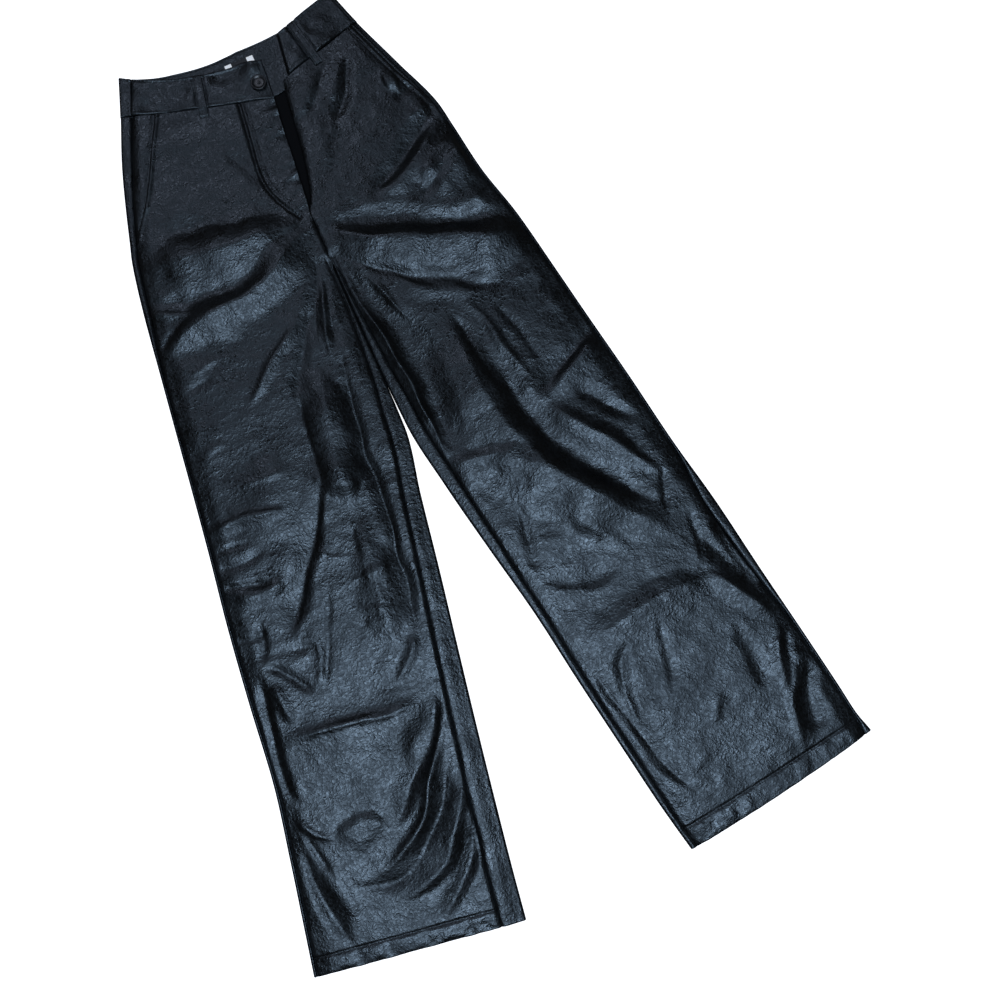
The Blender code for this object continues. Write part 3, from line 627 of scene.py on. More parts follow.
def front_top(rows, creases, heights, inward):
    """Places on top of a leg, at these heights of its outer edge and these distances in from it."""
    cut = cut_at(rows, heights)
    width = width_of(cut)
    x, y = front_place(cut, inward)
    hip = hip_share(heights)
    waist = smooth((rows[1].outer_y - heights) / WAIST_EASE)
    ease = smooth((inward - EDGE_RADIUS) / EDGE_EASE)
    ease = ease * mix(smooth((width - inward - EDGE_RADIUS) / EDGE_EASE), 1, hip)
    relief = mix(WAIST_RELIEF, 1, waist) * (creased(creases, x, y) + hand_feel(x, y))
    plump = PLUMP * waist * smooth((inward - EDGE_RADIUS) / PLUMP_EASE)
    plump = plump * mix(smooth((width - inward - EDGE_RADIUS) / PLUMP_EASE), 1, hip)
    climb = TAB_CLIMB if rows is RIGHT else CREST_CLIMB
    climb = climb * smooth((inward - CLIMB_SIDE) / (width - 60))
    climb = climb * smooth((heights - CLIMB_END) / CLIMB_EASE)
    level = 2 * EDGE_RADIUS + lift_at(heights) + ease * relief + plump + climb
    # the outseam, the inseam and the centre seam
    inseam, centre = width - cut.inseam_in, width + cut.lap - inward
    level = level + ease * puckers(heights, inward - cut.seam_in, 21)
    level = level + (1 - hip) * puckers(heights, inward - inseam, 22)
    seams = dip(inward - inseam, GROOVE_REACH) * (1 - hip)
    outseam = smooth((POCKET_END - heights) / MOUTH_EASE)
    seams = seams + dip(inward - cut.mouth_in, GROOVE_REACH) * outseam
    seams = seams + dip(centre, GROOVE_REACH) * hip * smooth((LIP_NONE - heights) / 12)
    # the mouth of the pocket, rolled a little
    mouth = dip(inward - cut.mouth_in - 3, MOUTH_WIDE) * (1 + 0.7 * ripple(heights, 0, 9, 26))
    level = level + MOUTH_ROLL * mouth * smooth((heights - POCKET_END) / MOUTH_EASE)
    # the strip between the inseam and the folded edge
    strip = width - EDGE_RADIUS - inseam
    across = np.clip((inward - inseam) / np.maximum(strip, 1), 0, 1)
    puffed = (1 - hip) * smooth((strip - 4) / 12)
    level = level + STRIP_PUFF * np.sin(math.pi * across) ** 2 * puffed
    # the pocket's row of stitches, and the hem's with its swollen turn-up
    from_hem = heights - rows[-1].outer_y
    stitches = dip(inward - cut.mouth_in - MOUTH_ROW) * smooth((heights - POCKET_END) / 14)
    stitches = stitches + HEM_GROOVE * dip(from_hem - HEM_ROW, HEM_REACH)
    swell = 0.5 + 0.8 * ripple(x, 0, 11, 24) + 0.5 * ripple(x, y, 6, 25)
    turned_up = smooth((HEM_ROW - from_hem) / 5) * smooth(from_hem / 5 + 0.2)
    level = level + ease * swell * turned_up
    # the fly
    if rows is LEFT:
        sagging = smooth(1 - centre / SAG_WIDE) * smooth((heights - LIP_NONE) / 60)
        level = level - FLY_SAG * sagging
    else:
        for path, deep in zip(FLY_ROWS, FLY_GROOVES):
            stitches = stitches + deep * dip(from_path(path, x, y), FLY_REACH)
        flap = FLAP_RIPPLE * hip * ripple(0, y, 8.5, 23) * np.exp(-np.abs(centre) / FLAP_REACH)
        level = level + flap * smooth((y - FLAP_END) / 20)
    level = level - SEAM_GROOVE * seams - STITCH_GROOVE * stitches
    lowest = LOWEST_FRONT + lift_at(heights)
    level = lowest + np.logaddexp(0, (level - lowest) / REST_EASE) * REST_EASE
    return grid_of(x, y, level)


# ---------------------------------------------------------------------------
# Panels. Each is one layer of leather: a fine grid of its outer face, an inner face a
# wall's thickness behind it, and a rolled rim between them.
RIM_BULGE = 0.34  # how round the rim is


def smooth_piece(name, points, faces, made_of):
    """A smooth mesh on points in millimetres."""
    mesh = bpy.data.meshes.new(name)
    mesh.from_pydata(points.reshape(-1, 3) * MM, [], faces)
    mesh.materials.append(made_of)
    mesh.shade_smooth()
    return added(name, mesh)


def shell(name, outer, wall, up, made_of, rings=1):
    """A closed piece of cloth on a grid of its outer face, which looks up (1) or down (-1)."""
    rows, columns = outer.shape[:2]
    normal = np.cross(np.gradient(outer, axis=1), np.gradient(outer, axis=0))
    normal /= np.linalg.norm(normal, axis=-1, keepdims=True) + 1e-9
    turned = normal[..., 2].mean() * up < 0
    normal = -normal if turned else normal
    inner = outer - wall * normal
    ring = [(0, c) for c in range(columns)] + [(r, columns - 1) for r in range(1, rows)]
    ring += [(rows - 1, c) for c in range(columns - 2, -1, -1)]
    ring += [(r, 0) for r in range(rows - 2, 0, -1)]
    ring = np.array(ring)
    next_in = np.clip(ring, 1, [rows - 2, columns - 2])
    edge, inside = outer[ring[:, 0], ring[:, 1]], outer[next_in[:, 0], next_in[:, 1]]
    other = inner[ring[:, 0], ring[:, 1]]
    out = edge - inside
    out /= np.linalg.norm(out, axis=-1, keepdims=True) + 1e-9
    bulge = np.linalg.norm(other - edge, axis=-1, keepdims=True) * RIM_BULGE
    count, length = rows * columns, len(ring)
    index = np.arange(count).reshape(rows, columns)
    loops, rim = [index[ring[:, 0], ring[:, 1]]], []
    for step in range(rings):
        angle = math.pi * (step + 1) / (rings + 1)
        rim.append(mix(edge, other, (1 - math.cos(angle)) / 2) + out * bulge * math.sin(angle))
        loops.append(2 * count + step * length + np.arange(length))
    loops.append(loops[0] + count)
    quads = [index[:-1, :-1], index[:-1, 1:], index[1:, 1:], index[1:, :-1]]
    quads = np.stack(quads, -1).reshape(-1, 4)
    faces = [quads, quads[:, ::-1] + count]
    for upper, lower in zip(loops, loops[1:]):
        faces.append(np.stack([np.roll(upper, -1), upper, lower, np.roll(lower, -1)], -1))
    faces = np.vstack(faces)
    faces = faces if turned else faces[:, ::-1]
    points = np.vstack([outer.reshape(-1, 3), inner.reshape(-1, 3), *rim])
    return smooth_piece(name, points, faces, made_of)


EDGE_STEPS = np.array([0, 0.7, 1.6, 2.8, 4.4])  # the first columns or rows in from an edge


def spread(start, end, count, fine=0.0):
    """Distances from start to end, closer together at both ends and over a fine stretch."""
    start, end = np.asarray(start, float)[..., None], np.asarray(end, float)[..., None]
    low, high = start + EDGE_STEPS[-1], end - EDGE_STEPS[-1]
    t = np.linspace(0, 1, count - 2 * len(EDGE_STEPS) + 2)
    split = 0.58 if fine else 1.0
    coarse = mix(low, high - fine, np.minimum(t / split, 1))
    run = coarse + fine * np.clip((t - split) / (1 - split + 1e-9), 0, 1)
    run[..., -1:] = high
    return np.concatenate([start + EDGE_STEPS[:-1], run, end - EDGE_STEPS[-2::-1]], -1)


def stands_for(piece, node):
    """Puts a finished piece in its CAD node's place."""
    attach(piece, "root")
    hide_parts(node)


def mounted(piece, node):
    """The same for a sheet of cloth."""
    stands_for(piece, node)


def rows_down(rows, bottom, pitch):
    """Heights from just below the waist seam down to the bottom of a panel."""
    top = rows[1].outer_y - GAP
    return spread(bottom, top, round((top - bottom) / pitch))[::-1]


def hem_wall(heights, bottom):
    """The wall's thickness: nearly two layers where the hem is turned up."""
    return WALL * (1 + 0.8 * smooth((bottom + HEM_ROW + 2 - heights) / 4))[:, None, None]


# what each leg is cut and creased from
SIDES = {"right": (RIGHT, RIGHT_CREASES), "left": (LEFT, LEFT_CREASES)}

# Back panels. Each is one piece of leather that lies on the ground, rolls up over
# both edges of its leg and is sewn to the front a little in from them.
BACK_PITCH = 3.2
BACK_SHALLOW = 0.9  # the height of the creases underneath
BACK_COLUMNS = 20
ROLL = np.linspace(math.pi / 2, -math.pi / 2, 9)[None]  # round an edge, from the top down


def underneath(x, y):
    """How far the underside is off the ground: flat, with shallow creases."""
    lines = 1 - np.abs(ripple(x + 0.5 * y, y - 0.3 * x, 58, 31)) * 3.4
    return BACK_SHALLOW * np.clip(lines, 0, 1) ** 2 * (0.5 + 0.5 * ripple(x, y, 90, 32))


def back_outer(rows, creases, heights):
    heights = heights[:, None]
    cut = cut_at(rows, heights)
    width, lift, hip = width_of(cut), lift_at(heights), hip_share(heights)
    # the inner edge: the strip from the inseam and the roll, or flat to the centre seam
    strip = np.linspace(0, 1, 7)[None, :-1]
    inseam = width - cut.inseam_in + GAP / 2
    inward = mix(inseam, width - EDGE_RADIUS, strip)
    strip_top = front_top(rows, creases, heights, inward)
    x, y = front_place(cut, width - EDGE_RADIUS * (1 - np.cos(ROLL)))
    rolled = grid_of(x, y, EDGE_RADIUS * (1 + np.sin(ROLL)) + lift)
    rolled = np.concatenate([strip_top, rolled], 1)
    flat_run = np.append(np.linspace(0, 1.6, strip.size + ROLL.size - 5), [2.6, 4.5, 6.7, 9, 11])
    flat = grid_of(*back_place(cut, width - flat_run[None]), lift)
    inner = mix(rolled, flat, hip[..., None])
    # the underside
    inward = mix(width - 13, EDGE_RADIUS + 2, np.linspace(0, 1, BACK_COLUMNS)[None])
    x, y = back_place(cut, inward)
    under = grid_of(x, y, lift + underneath(x, y))
    # the outer edge, and up to the outseam, under the pocket mouth where there is one
    turn = ROLL[:, ::-1]
    drop = pocket_drop(heights)
    x, y = front_place(cut, EDGE_RADIUS * (1 - np.cos(turn)))
    level = EDGE_RADIUS * (1 + np.sin(turn)) + lift - drop * smooth((1 + np.sin(turn)) / 2)
    outer = grid_of(x, y, level)
    seam = mix(EDGE_RADIUS, cut.seam_in - GAP / 2, np.linspace(0, 1, 6)[None, 1:])
    last = front_top(rows, creases, heights, seam)
    last[..., 2] -= drop
    last[..., 2] -= SEAM_GROOVE * dip(seam - cut.seam_in, GROOVE_REACH)
    return np.concatenate([inner, under, outer, last], 1)


for side, (rows, creases) in SIDES.items():
    bottom = rows[-1].outer_y
    heights = rows_down(rows, bottom, BACK_PITCH)
    outer = back_outer(rows, creases, heights)
    piece = shell(side + "_back", outer, hem_wall(heights, bottom), -1, LEATHER)
    mounted(piece, "back_" + side)

# Front panels. The right one runs over the fly to the edge of its flap, and the left
# one stands up in a fold beside it; both end at the slanted pocket mouths.
FRONT_PITCH = 2.6
HEM_STEP = 0.8  # the grid is finer at the stitches of the hem
FRONT_COLUMNS = 106
FINE_WIDTH = 56.0  # over which they are closer together, beside the fly and the inseam
LIP_RADIUS, LIP_WIDTH = 4.0, 7.5  # how far the left front turns down at the fly, over what width
LIP_RADIUS_TOP, LIP_WIDTH_TOP = 5.2, 20.0  # the same at the waistband
LIP_SPREAD = 130.0  # the height over which one turns into the other
LIP_STEPS = 6
CROTCH_COVER = 15.0  # how far below the crotch the fronts already reach the centre line


def front_outer(rows, creases, heights):
    cut = cut_at(rows, heights)
    width, hip = width_of(cut), hip_share(heights + CROTCH_COVER)
    start = cut.mouth_in + GAP / 2
    end = mix(width - cut.inseam_in - GAP / 2, width + cut.lap - GAP / 2, hip)
    if rows is RIGHT:
        inward = spread(start, end, FRONT_COLUMNS, FINE_WIDTH)
        return front_top(rows, creases, heights[:, None], inward)
    heights, crest = heights[:, None], end - LIP_WIDTH
    inward = spread(start, crest, FRONT_COLUMNS - LIP_STEPS, FINE_WIDTH)
    top_face = front_top(rows, creases, heights, inward)
    steps = np.linspace(0, 1, LIP_STEPS + 1)[None, 1:]
    angle = steps * math.pi / 2
    turned = smooth((heights - LIP_NONE) / (LIP_FULL - LIP_NONE))
    wide = smooth((heights - LIP_NONE) / LIP_SPREAD)
    over = mix(LIP_WIDTH, LIP_WIDTH_TOP, wide) * mix(steps, np.sin(angle), turned)
    lip = front_top(rows, creases, heights, crest[:, None] + over)
    fall = mix(LIP_RADIUS, LIP_RADIUS_TOP, wide) * (1 - np.cos(angle))
    lip[..., 2] = mix(lip[..., 2], top_face[:, -1:, 2] - fall, turned)
    return np.concatenate([top_face, lip], 1)


FRONTS = {}
for side, (rows, creases) in SIDES.items():
    bottom = rows[-1].outer_y
    heights = rows_down(rows, bottom, FRONT_PITCH)
    at_row = bottom + HEM_ROW + HEM_STEP * np.arange(-4, 5)
    heights = heights[np.abs(heights - bottom - HEM_ROW) > 5 * HEM_STEP]
    heights = np.union1d(heights, at_row)[::-1]
    outer = front_outer(rows, creases, heights)
    FRONTS[side] = shell(side + "_front", outer, hem_wall(heights, bottom), 1, LEATHER)
    mounted(FRONTS[side], "front_" + side)

# Pocket facings. A strip of the same leather closes each slanted pocket: it is sewn into
# the outseam and goes on under the front, which its edge is stitched back from.
FACING_REACH = 12.0  # how far it goes on under the front
FACING_PITCH, FACING_COLUMNS = 3.0, 22
FACING_CROWN, FACING_SWELL = 1.1, 0.8  # how far it swells up, and how much more at the top
FACING_TUCK = 0.5  # how much lower it lies under the front
FACING_WIDE = {"right": 0.045, "left": 0.02}


def facing_outer(rows, creases, heights):
    cut = cut_at(rows, heights[:, None])
    start, end = cut.seam_in + GAP / 2, cut.mouth_in + FACING_REACH
    inward = spread(start[:, 0], end[:, 0], FACING_COLUMNS)
    heights = heights[:, None]
    places = front_top(rows, creases, heights, inward)
    across = (inward - cut.seam_in) / (cut.mouth_in - cut.seam_in)
    crown = np.clip(4 * across * (1 - across), 0, 1) * smooth((heights - POCKET_END) / 60)
    crown = (FACING_CROWN + FACING_SWELL * smooth((heights - 425) / 60)) * crown
    tucked = FACING_TUCK * smooth((inward - cut.mouth_in + 2) / 4)
    level = places[..., 2] - pocket_drop(heights) + crown - tucked
    places[..., 2] = level - SEAM_GROOVE * dip(inward - cut.seam_in, GROOVE_REACH)
    return places


for side, (rows, creases) in SIDES.items():
    outer = facing_outer(rows, creases, rows_down(rows, POCKET_END, FACING_PITCH))
    piece = shell(side + "_pocket_facing", outer, WALL, 1, LEATHER)
    flat = (FACING_WIDE[side], 0.17)
    mounted(piece, "pocket_facing_" + side)

# Waistband. A straight band of two layers, 50 mm deep, edge-stitched all round. The back
# half rests on the loops behind it; the right front ends in a tab that buttons over the
# left, and the left front drops over its fold and runs on under the tab.
BAND_WALL, BAND_BULK = 2.4, 51.0
BAND_FOLD = 2.6  # radius of the fold at each side
BAND_LOW, BAND_TOP = 2.1, 8.9  # the underside at the back, and the upper side in front
UNDER_TAB = 7.4  # the upper side of the underlap
BAND_ROWS = 26
EDGE_ROLL, EDGE_ROW = 0.5, 4.2  # how proud the edge stands, and where its stitches are
EDGE_FALL = 2.3  # how far the lower edge is pulled down at the waist seam
BAND_COLUMNS = {"back": 46, "right": 96, "left": 70}
LIP_CURVE = [  # how the left front's end turns down at the fly, in radii along and down
    (0.35, 0.06), (0.7, 0.3), (0.9, 0.62), (1, 1), (1.1, 1.38), (1.3, 1.7), (1.65, 1.94), (2, 2),
]
BAND_LIP = 3.4  # the radius of that turn
UNDERLAP_PATH = [(41, 466), (24, 461), (0, 468), (-27, 474)]  # its lower edge, from the fold
UNDERLAP_HEIGHT = np.array([3, 41])  # from its lower edge to its upper
BUTTON_PLACE = (10, 484)
RIGHT_LOOP, LEFT_LOOP = ((-56, 524), (-68, 470)), ((76, 540), (88, 477))  # their tops and bottoms
BUTTON_RISE, BUTTON_SINK = 4.2, 0.8  # the tab bulges above the button and gives way under it
PAINTED_SHADE_STRIP = 8.0  # the underlap's twill, a dull black that is painted shade under the tab, shows between the fold and its own edge
CREST_DROP = 2.4  # how far the left front's top corner has slipped down


def band_edges(from_top, from_end=1e3):
    """The relief of the stitched edges, by how far in from them it is."""
    total = 0
    for inward in (from_top, BAND_BULK - from_top, from_end):
        total = total + EDGE_ROLL * dip(inward - 1.4, 1.1)
        total = total - STITCH_GROOVE * dip(inward - EDGE_ROW, 0.9)
    total = total + 0.9 * dip(BAND_BULK - from_top - 2.0, 1.5)
    return total - EDGE_FALL * np.clip(1 - (BAND_BULK - from_top) / 3.4, 0, 1)


def band_feel(x, y, from_top):
    """Its slight unevenness: bulges between the edges, and puckers at the lower stitches."""
    soft = 1.9 * ripple(x, y, 36, 41) + 1.6 * ripple(x, y, 16, 42)
    return soft + 0.3 * ripple(x, y * 0.3, 4.5, 43) * np.exp(-(BAND_BULK - from_top) / 8)


def beside_loop(x, y, top, bottom):
    """How far the band is pressed down beside a belt loop."""
    run = np.subtract(bottom, top)
    away = np.abs((x - top[0]) * run[1] - (y - top[1]) * run[0]) / np.hypot(*run)
    return 1.3 * dip(away - 5.8, 1.7)


def band_cut(rows):
    """One cross-section for each row of the band, its width, and how far it is from the top."""
    shares = spread(0, BAND_BULK, BAND_ROWS)[:, None] / BAND_BULK
    cut = cut_at(rows, mix(rows[0].outer_y, rows[1].outer_y + GAP / 2, shares))
    return cut, width_of(cut), shares * BAND_BULK


def band_side(rows):
    """The back of the band at one side, from the side seam to the middle of the back."""
    cut, width, from_top = band_cut(rows)
    run = mix(cut.seam_in - GAP / 2, BAND_FOLD, np.linspace(0, 1, 6)[None, :-1])
    x, y = front_place(cut, run)
    side = grid_of(x, y, BAND_TOP + band_edges(from_top, cut.seam_in - run))
    x, y = front_place(cut, BAND_FOLD * (1 - np.cos(ROLL)))
    fold = grid_of(x, y, mix(BAND_LOW, BAND_TOP, (1 + np.sin(ROLL)) / 2))
    under = mix(BAND_FOLD + 2, width, np.linspace(0, 1, BAND_COLUMNS["back"])[None])
    x, y = back_place(cut, under)
    level = BAND_LOW - 0.6 * band_feel(x, y, from_top) * smooth(under / 40 - 0.2)
    return np.concatenate([side, fold, grid_of(x, y, level - band_edges(from_top))], 1)


def band_back_outer():
    right, left = band_side(RIGHT), band_side(LEFT)
    centre = (right[:, -1:] + left[:, -1:]) / 2
    return np.concatenate([right[:, :-1], centre, left[:, -2::-1]], 1)


def band_right_outer():
    cut, width, from_top = band_cut(RIGHT)
    start, end = cut.seam_in + GAP / 2, width + cut.lap
    inward = spread(start[:, 0], end[:, 0], BAND_COLUMNS["right"])
    x, y = front_place(cut, inward)
    climb = TAB_CLIMB * smooth((inward - CLIMB_SIDE) / (width - 90))
    level = BAND_TOP + climb + band_edges(from_top, end - inward)
    level = level - SEAM_GROOVE * 0.5 * dip(inward - start) + band_feel(x, y, from_top)
    beside, above = x - BUTTON_PLACE[0], y - BUTTON_PLACE[1]
    level = level + BUTTON_RISE * dip(np.hypot(beside + 1, above - 23), 10)
    level = level - BUTTON_SINK * dip(np.hypot(beside, above), 12)
    return grid_of(x, y, level - beside_loop(x, y, *RIGHT_LOOP))


def band_left_outer():
    cut, width, from_top = band_cut(LEFT)
    crest, start = width + cut.lap - BAND_LIP, cut.seam_in + GAP / 2
    inward = spread(start[:, 0], crest[:, 0], BAND_COLUMNS["left"])
    x, y = front_place(cut, inward)
    slip = 1 - from_top / BAND_BULK
    y = y - CREST_DROP * smooth((inward - crest + 45) / 45) * slip
    climb = CREST_CLIMB * smooth((inward - start) / (crest - start))
    level = BAND_TOP + climb + band_edges(from_top) - SEAM_GROOVE * 0.5 * dip(inward - start)
    level = level + band_feel(x, y, from_top) * smooth((crest - inward) / 20)
    grid = [grid_of(x, y, level - beside_loop(x, y, *LEFT_LOOP))]
    lip_level = BAND_TOP + CREST_CLIMB + band_edges(from_top)
    for along, down in LIP_CURVE:
        x, y = front_place(cut, crest + BAND_LIP * along)
        grid.append(grid_of(x, y - CREST_DROP * slip, mix(lip_level, UNDER_TAB, down / 2)))
    underlap = []
    for from_edge, last in zip(slip[:, 0], grid[-1][:, 0]):
        path = np.array(UNDERLAP_PATH) + UNDERLAP_HEIGHT * from_edge
        flat = rounded(np.vstack([last[:2], path]))[1:]
        underlap.append(grid_of(*flat.T, UNDER_TAB))
    return np.concatenate([*grid, np.array(underlap)], 1)


def painted_shade_from(y):
    """Where the leather ends and the underlap's twill begins, past the fold; the twill's dull black
    is painted shade.
    """
    return mix(46.5, 54.5, (y - 465) / 56) - 1.0


BANDS = {}
FRONT_BAND = (0.185, 0.055)
for name, node, outer, up, flat, on in (
    ("back", "back", band_back_outer(), -1, (0.36, 0.055), "back_loop_centre"),
    ("right", "front_right", band_right_outer(), 1, FRONT_BAND, "left_waistband"),
    ("left", "front_left", band_left_outer(), 1, FRONT_BAND, "back_waistband"),
):
    BANDS[name] = shell(name + "_waistband", outer, BAND_WALL, up, BAND_LEATHER, rings=3)
    mounted(BANDS[name], "waistband_" + node)
left_band = BANDS["left"].data
# The underlap's strip of dull twill is painted shade for the dark gap under the tab's edge.
left_band.materials.append(PAINTED_SHADE_TWILL)
for face in left_band.polygons:
    past_fold = painted_shade_from(face.center.y / MM) - face.center.x / MM
    face.material_index = int(0 < past_fold < PAINTED_SHADE_STRIP and face.normal.z > 0)

# Fly. A shield of one layer lies on the back behind the zip; the zip's tapes are woven,
# its coil teeth are nylon and its slider is black metal. The right front covers them all.
SHIELD_UNDER_FLAP, SHIELD_PAST_CREST = 24.0, 2.0
SHIELD_TOP, SHIELD_END = 509.0, 340.0
SHIELD_HIGH = 2.7  # its upper side
ZIP_TOP, ZIP_END, ZIP_WIDTH, ZIP_WALL = 480.0, 352.0, 20.0, 0.7
ZIP_INSET = 4.0  # how far the tape lies under the flap
SLIDER_HEIGHT = 486.0


def fly_edge(rows, heights):
    """The edge of a front at the fly, in plan."""
    cut = cut_at(rows, heights)
    return front_place(cut, width_of(cut) + cut.lap)


heights = spread(SHIELD_END, SHIELD_TOP, 60)[::-1][:, None]
flap, crest = fly_edge(RIGHT, heights), fly_edge(LEFT, heights)
x = spread((flap[0] - SHIELD_UNDER_FLAP)[:, 0], (crest[0] + SHIELD_PAST_CREST)[:, 0], 22)
y = mix(flap[1], mix(flap[1], crest[1], 0.5), smooth((x - flap[0] + 6) / 6))
from_edge = x[:, -1:] - x
level = SHIELD_HIGH + lift_at(heights) + 0.3 * ripple(x, y, 14, 51) - 0.3 * dip(from_edge - 4)
# The shield's dull twill is painted shade in the gap beside the fly.
shield = shell("fly_facing", grid_of(x, y, level), WALL, 1, PAINTED_SHADE_TWILL)
mounted(shield, "fly_shield")

TAPE, place, shader = finish("zip_tape")
ribs = waves(place, 700, "Y")
filled(shader, {
    "Base Color": blended(ribs, (0.008, 0.008, 0.009), (0.02, 0.02, 0.022)),
    "Normal": bumps(ribs, 0.5, 0.0002),
    "Roughness": 0.8,
})

heights = spread(ZIP_END, ZIP_TOP, 40)[::-1][:, None]
flap = fly_edge(RIGHT, heights)
zip_edge = flap[0] - ZIP_INSET
x = spread((zip_edge - ZIP_WIDTH)[:, 0], zip_edge[:, 0], 16)
tape_top = SHIELD_HIGH + 0.2 + ZIP_WALL
level = tape_top + lift_at(heights) + 0.25 * ripple(x, flap[1], 30, 52)
zip_tape = shell("zip_tape", grid_of(x, flap[1], level), ZIP_WALL, 1, TAPE)
mounted(zip_tape, "zip")

THREAD, place, shader = finish("black_thread")
twist = waves(place, 900, "DIAGONAL")
colour = blended(twist, (0.006, 0.006, 0.007), (0.022, 0.023, 0.026))
filled(shader, {"Base Color": colour, "Roughness": 0.5})


def sewing_tree():
    """Stitches along a path of edges: each is a short thread that lies on the surface under it."""
    tree = bpy.data.node_groups.new("sewing", "GeometryNodeTree")
    inputs = {"Path": "Geometry", "Surface": "Object", "Finish": "Material"}
    inputs.update({"Pitch": "Float", "Stitch": "Float", "Thread": "Float"})
    for name, kind in inputs.items():
        tree.interface.new_socket(name=name, in_out="INPUT", socket_type="NodeSocket" + kind)
    kind = "NodeSocketGeometry"
    tree.interface.new_socket(name="Stitches", in_out="OUTPUT", socket_type=kind)
    start = tree.nodes.new("NodeGroupInput")
    given = {socket.name: Tone(tree, socket) for socket in start.outputs if socket.name}

    def step(kind, inputs, output=0, **settings):
        return grown(tree, "GeometryNode" + kind, settings, inputs, output)

    even = {"Curve": step("MeshToCurve", {"Mesh": given["Path"]}), "Length": given["Pitch"]}
    even = step("ResampleCurve", even, mode="LENGTH")
    above = {0: step("InputPosition", {}), 1: (0, 0, 0.05)}
    above = grown(tree, "ShaderNodeVectorMath", {"operation": "ADD"}, above)
    down = {"Source Position": above, "Ray Direction": (0, 0, -1), "Ray Length": 0.2}
    down["Target Geometry"] = step("ObjectInfo", {"Object": given["Surface"]}, "Geometry")
    hit = step("Raycast", down, "Hit Position")
    sunk = grown(tree, "ShaderNodeCombineXYZ", {}, {"Z": given["Thread"] * 0.2})
    laid = step("SetPosition", {"Geometry": even, "Position": hit, "Offset": sunk})
    turned = {"Vector": step("InputTangent", {})}
    turned = grown(tree, "FunctionNodeAlignRotationToVector", {"axis": "X"}, turned)
    ball = step("MeshUVSphere", {"Segments": 6, "Rings": 4, "Radius": 0.5})
    size = {"X": given["Stitch"], "Y": given["Thread"], "Z": given["Thread"]}
    size = grown(tree, "ShaderNodeCombineXYZ", {}, size)
    ball = step("Transform", {"Geometry": ball, "Scale": size})
    row = step("InstanceOnPoints", {"Points": laid, "Instance": ball, "Rotation": turned})
    row = step("RealizeInstances", {"Geometry": row})
    row = step("SetShadeSmooth", {"Geometry": row})
    row = step("SetMaterial", {"Geometry": row, "Material": given["Finish"]})
    filled(tree.nodes.new("NodeGroupOutput"), {"Stitches": row})
    return tree


SEWING = sewing_tree()


def sewn(name, surface, paths, pitch=3.1, stitch=2.5, thread=0.5, made_of=THREAD):
    """Stitches on a piece, along paths that are given in plan."""
    points, edges = [], []
    for path in paths:
        first = len(points)
        points += [(x, y, 0) for x, y in np.array(path, float) * MM]
        edges += [(i, i + 1) for i in range(first, len(points) - 1)]
    line = bpy.data.meshes.new(name)
    line.from_pydata(points, edges, [])
    guide = added(name + "_guide", line)
    row = guide.modifiers.new("sewing", "NODES")
    row.node_group = SEWING
    values = {"Pitch": pitch * MM, "Stitch": stitch * MM, "Thread": thread * MM}
    values.update({"Surface": surface, "Finish": made_of})
    for socket in SEWING.interface.items_tree:
        if socket.name in values:
            row[socket.identifier] = values[socket.name]
    graph = bpy.context.evaluated_depsgraph_get()
    mesh = bpy.data.meshes.new_from_object(guide.evaluated_get(graph))
    bpy.data.objects.remove(guide)
    piece = added(name, mesh)
    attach(piece, "root")


zip_middle = np.column_stack([zip_edge - ZIP_WIDTH / 2, flap[1]])
for side, beside in (("right", -1.1), ("left", 1.1)):
    coil = zip_middle + [beside, 0]
    sewn("zip_coil_" + side, zip_tape, [coil], pitch=1.5, stitch=1.1, thread=1.4, made_of=TAPE)

BLACK_METAL, place, shader = finish("black_metal")
rubbed = noise(place, 500, 3)
filled(shader, {
    "Base Color": blended(rubbed, (0.02, 0.02, 0.022), (0.05, 0.05, 0.053)),
    "Roughness": 0.28 + rubbed * 0.16,
    "Metallic": 1.0,
})

SLIDER_BODY = (9.0, 11.0, 1.6)
SLIDER_PULL = (4.2, 14.0, 0.9)
SLIDER_NARROW = 0.82  # how wide each is at its lower end
flap = fly_edge(RIGHT, SLIDER_HEIGHT)
base = tape_top + 0.4 + lift_at(SLIDER_HEIGHT)
slider_mesh = bmesh.new()
for size, down, up in ((SLIDER_BODY, -2.0, 0.0), (SLIDER_PULL, 9.0, SLIDER_BODY[2] - 0.2)):
    for vert in bmesh.ops.create_cube(slider_mesh, size=1)["verts"]:
        narrow = SLIDER_NARROW if vert.co.y < 0 else 1.0
        x = flap[0] - ZIP_INSET - ZIP_WIDTH / 2 + vert.co.x * size[0] * narrow
        y = flap[1] - down + vert.co.y * size[1]
        vert.co = (x * MM, y * MM, (base + up + (vert.co.z + 0.5) * size[2]) * MM)
rim = slider_mesh.edges[:]
bmesh.ops.bevel(slider_mesh, geom=rim, offset=0.35 * MM, segments=3, affect="EDGES", profile=0.5)
mesh = bpy.data.meshes.new("slider_and_pull")
slider_mesh.to_mesh(mesh)
slider_mesh.free()
mesh.materials.append(BLACK_METAL)
slider = added("slider_and_pull", mesh)
stands_for(slider, "zip_slider")


# Seam stitches. Black thread holds the edges of the band, the slanted pockets, the fly in
# two rows and the turned-up hems; short close stitches lock the ends of the fly and pockets.
def band_lines(rows, start, inset):
    """A band's lower and upper stitches, from a place near its side to this far in from its end."""
    top, bottom = rows[0].outer_y, rows[1].outer_y + GAP / 2
    lines = []
    for share, edge in ((1 - EDGE_ROW / BAND_BULK, bottom), (EDGE_ROW / BAND_BULK, top)):
        end = cut_at(rows, edge)
        run = np.linspace(start, width_of(end) + end.lap - inset, 60)
        lines.append(np.column_stack(front_place(cut_at(rows, mix(top, bottom, share)), run)))
    return lines


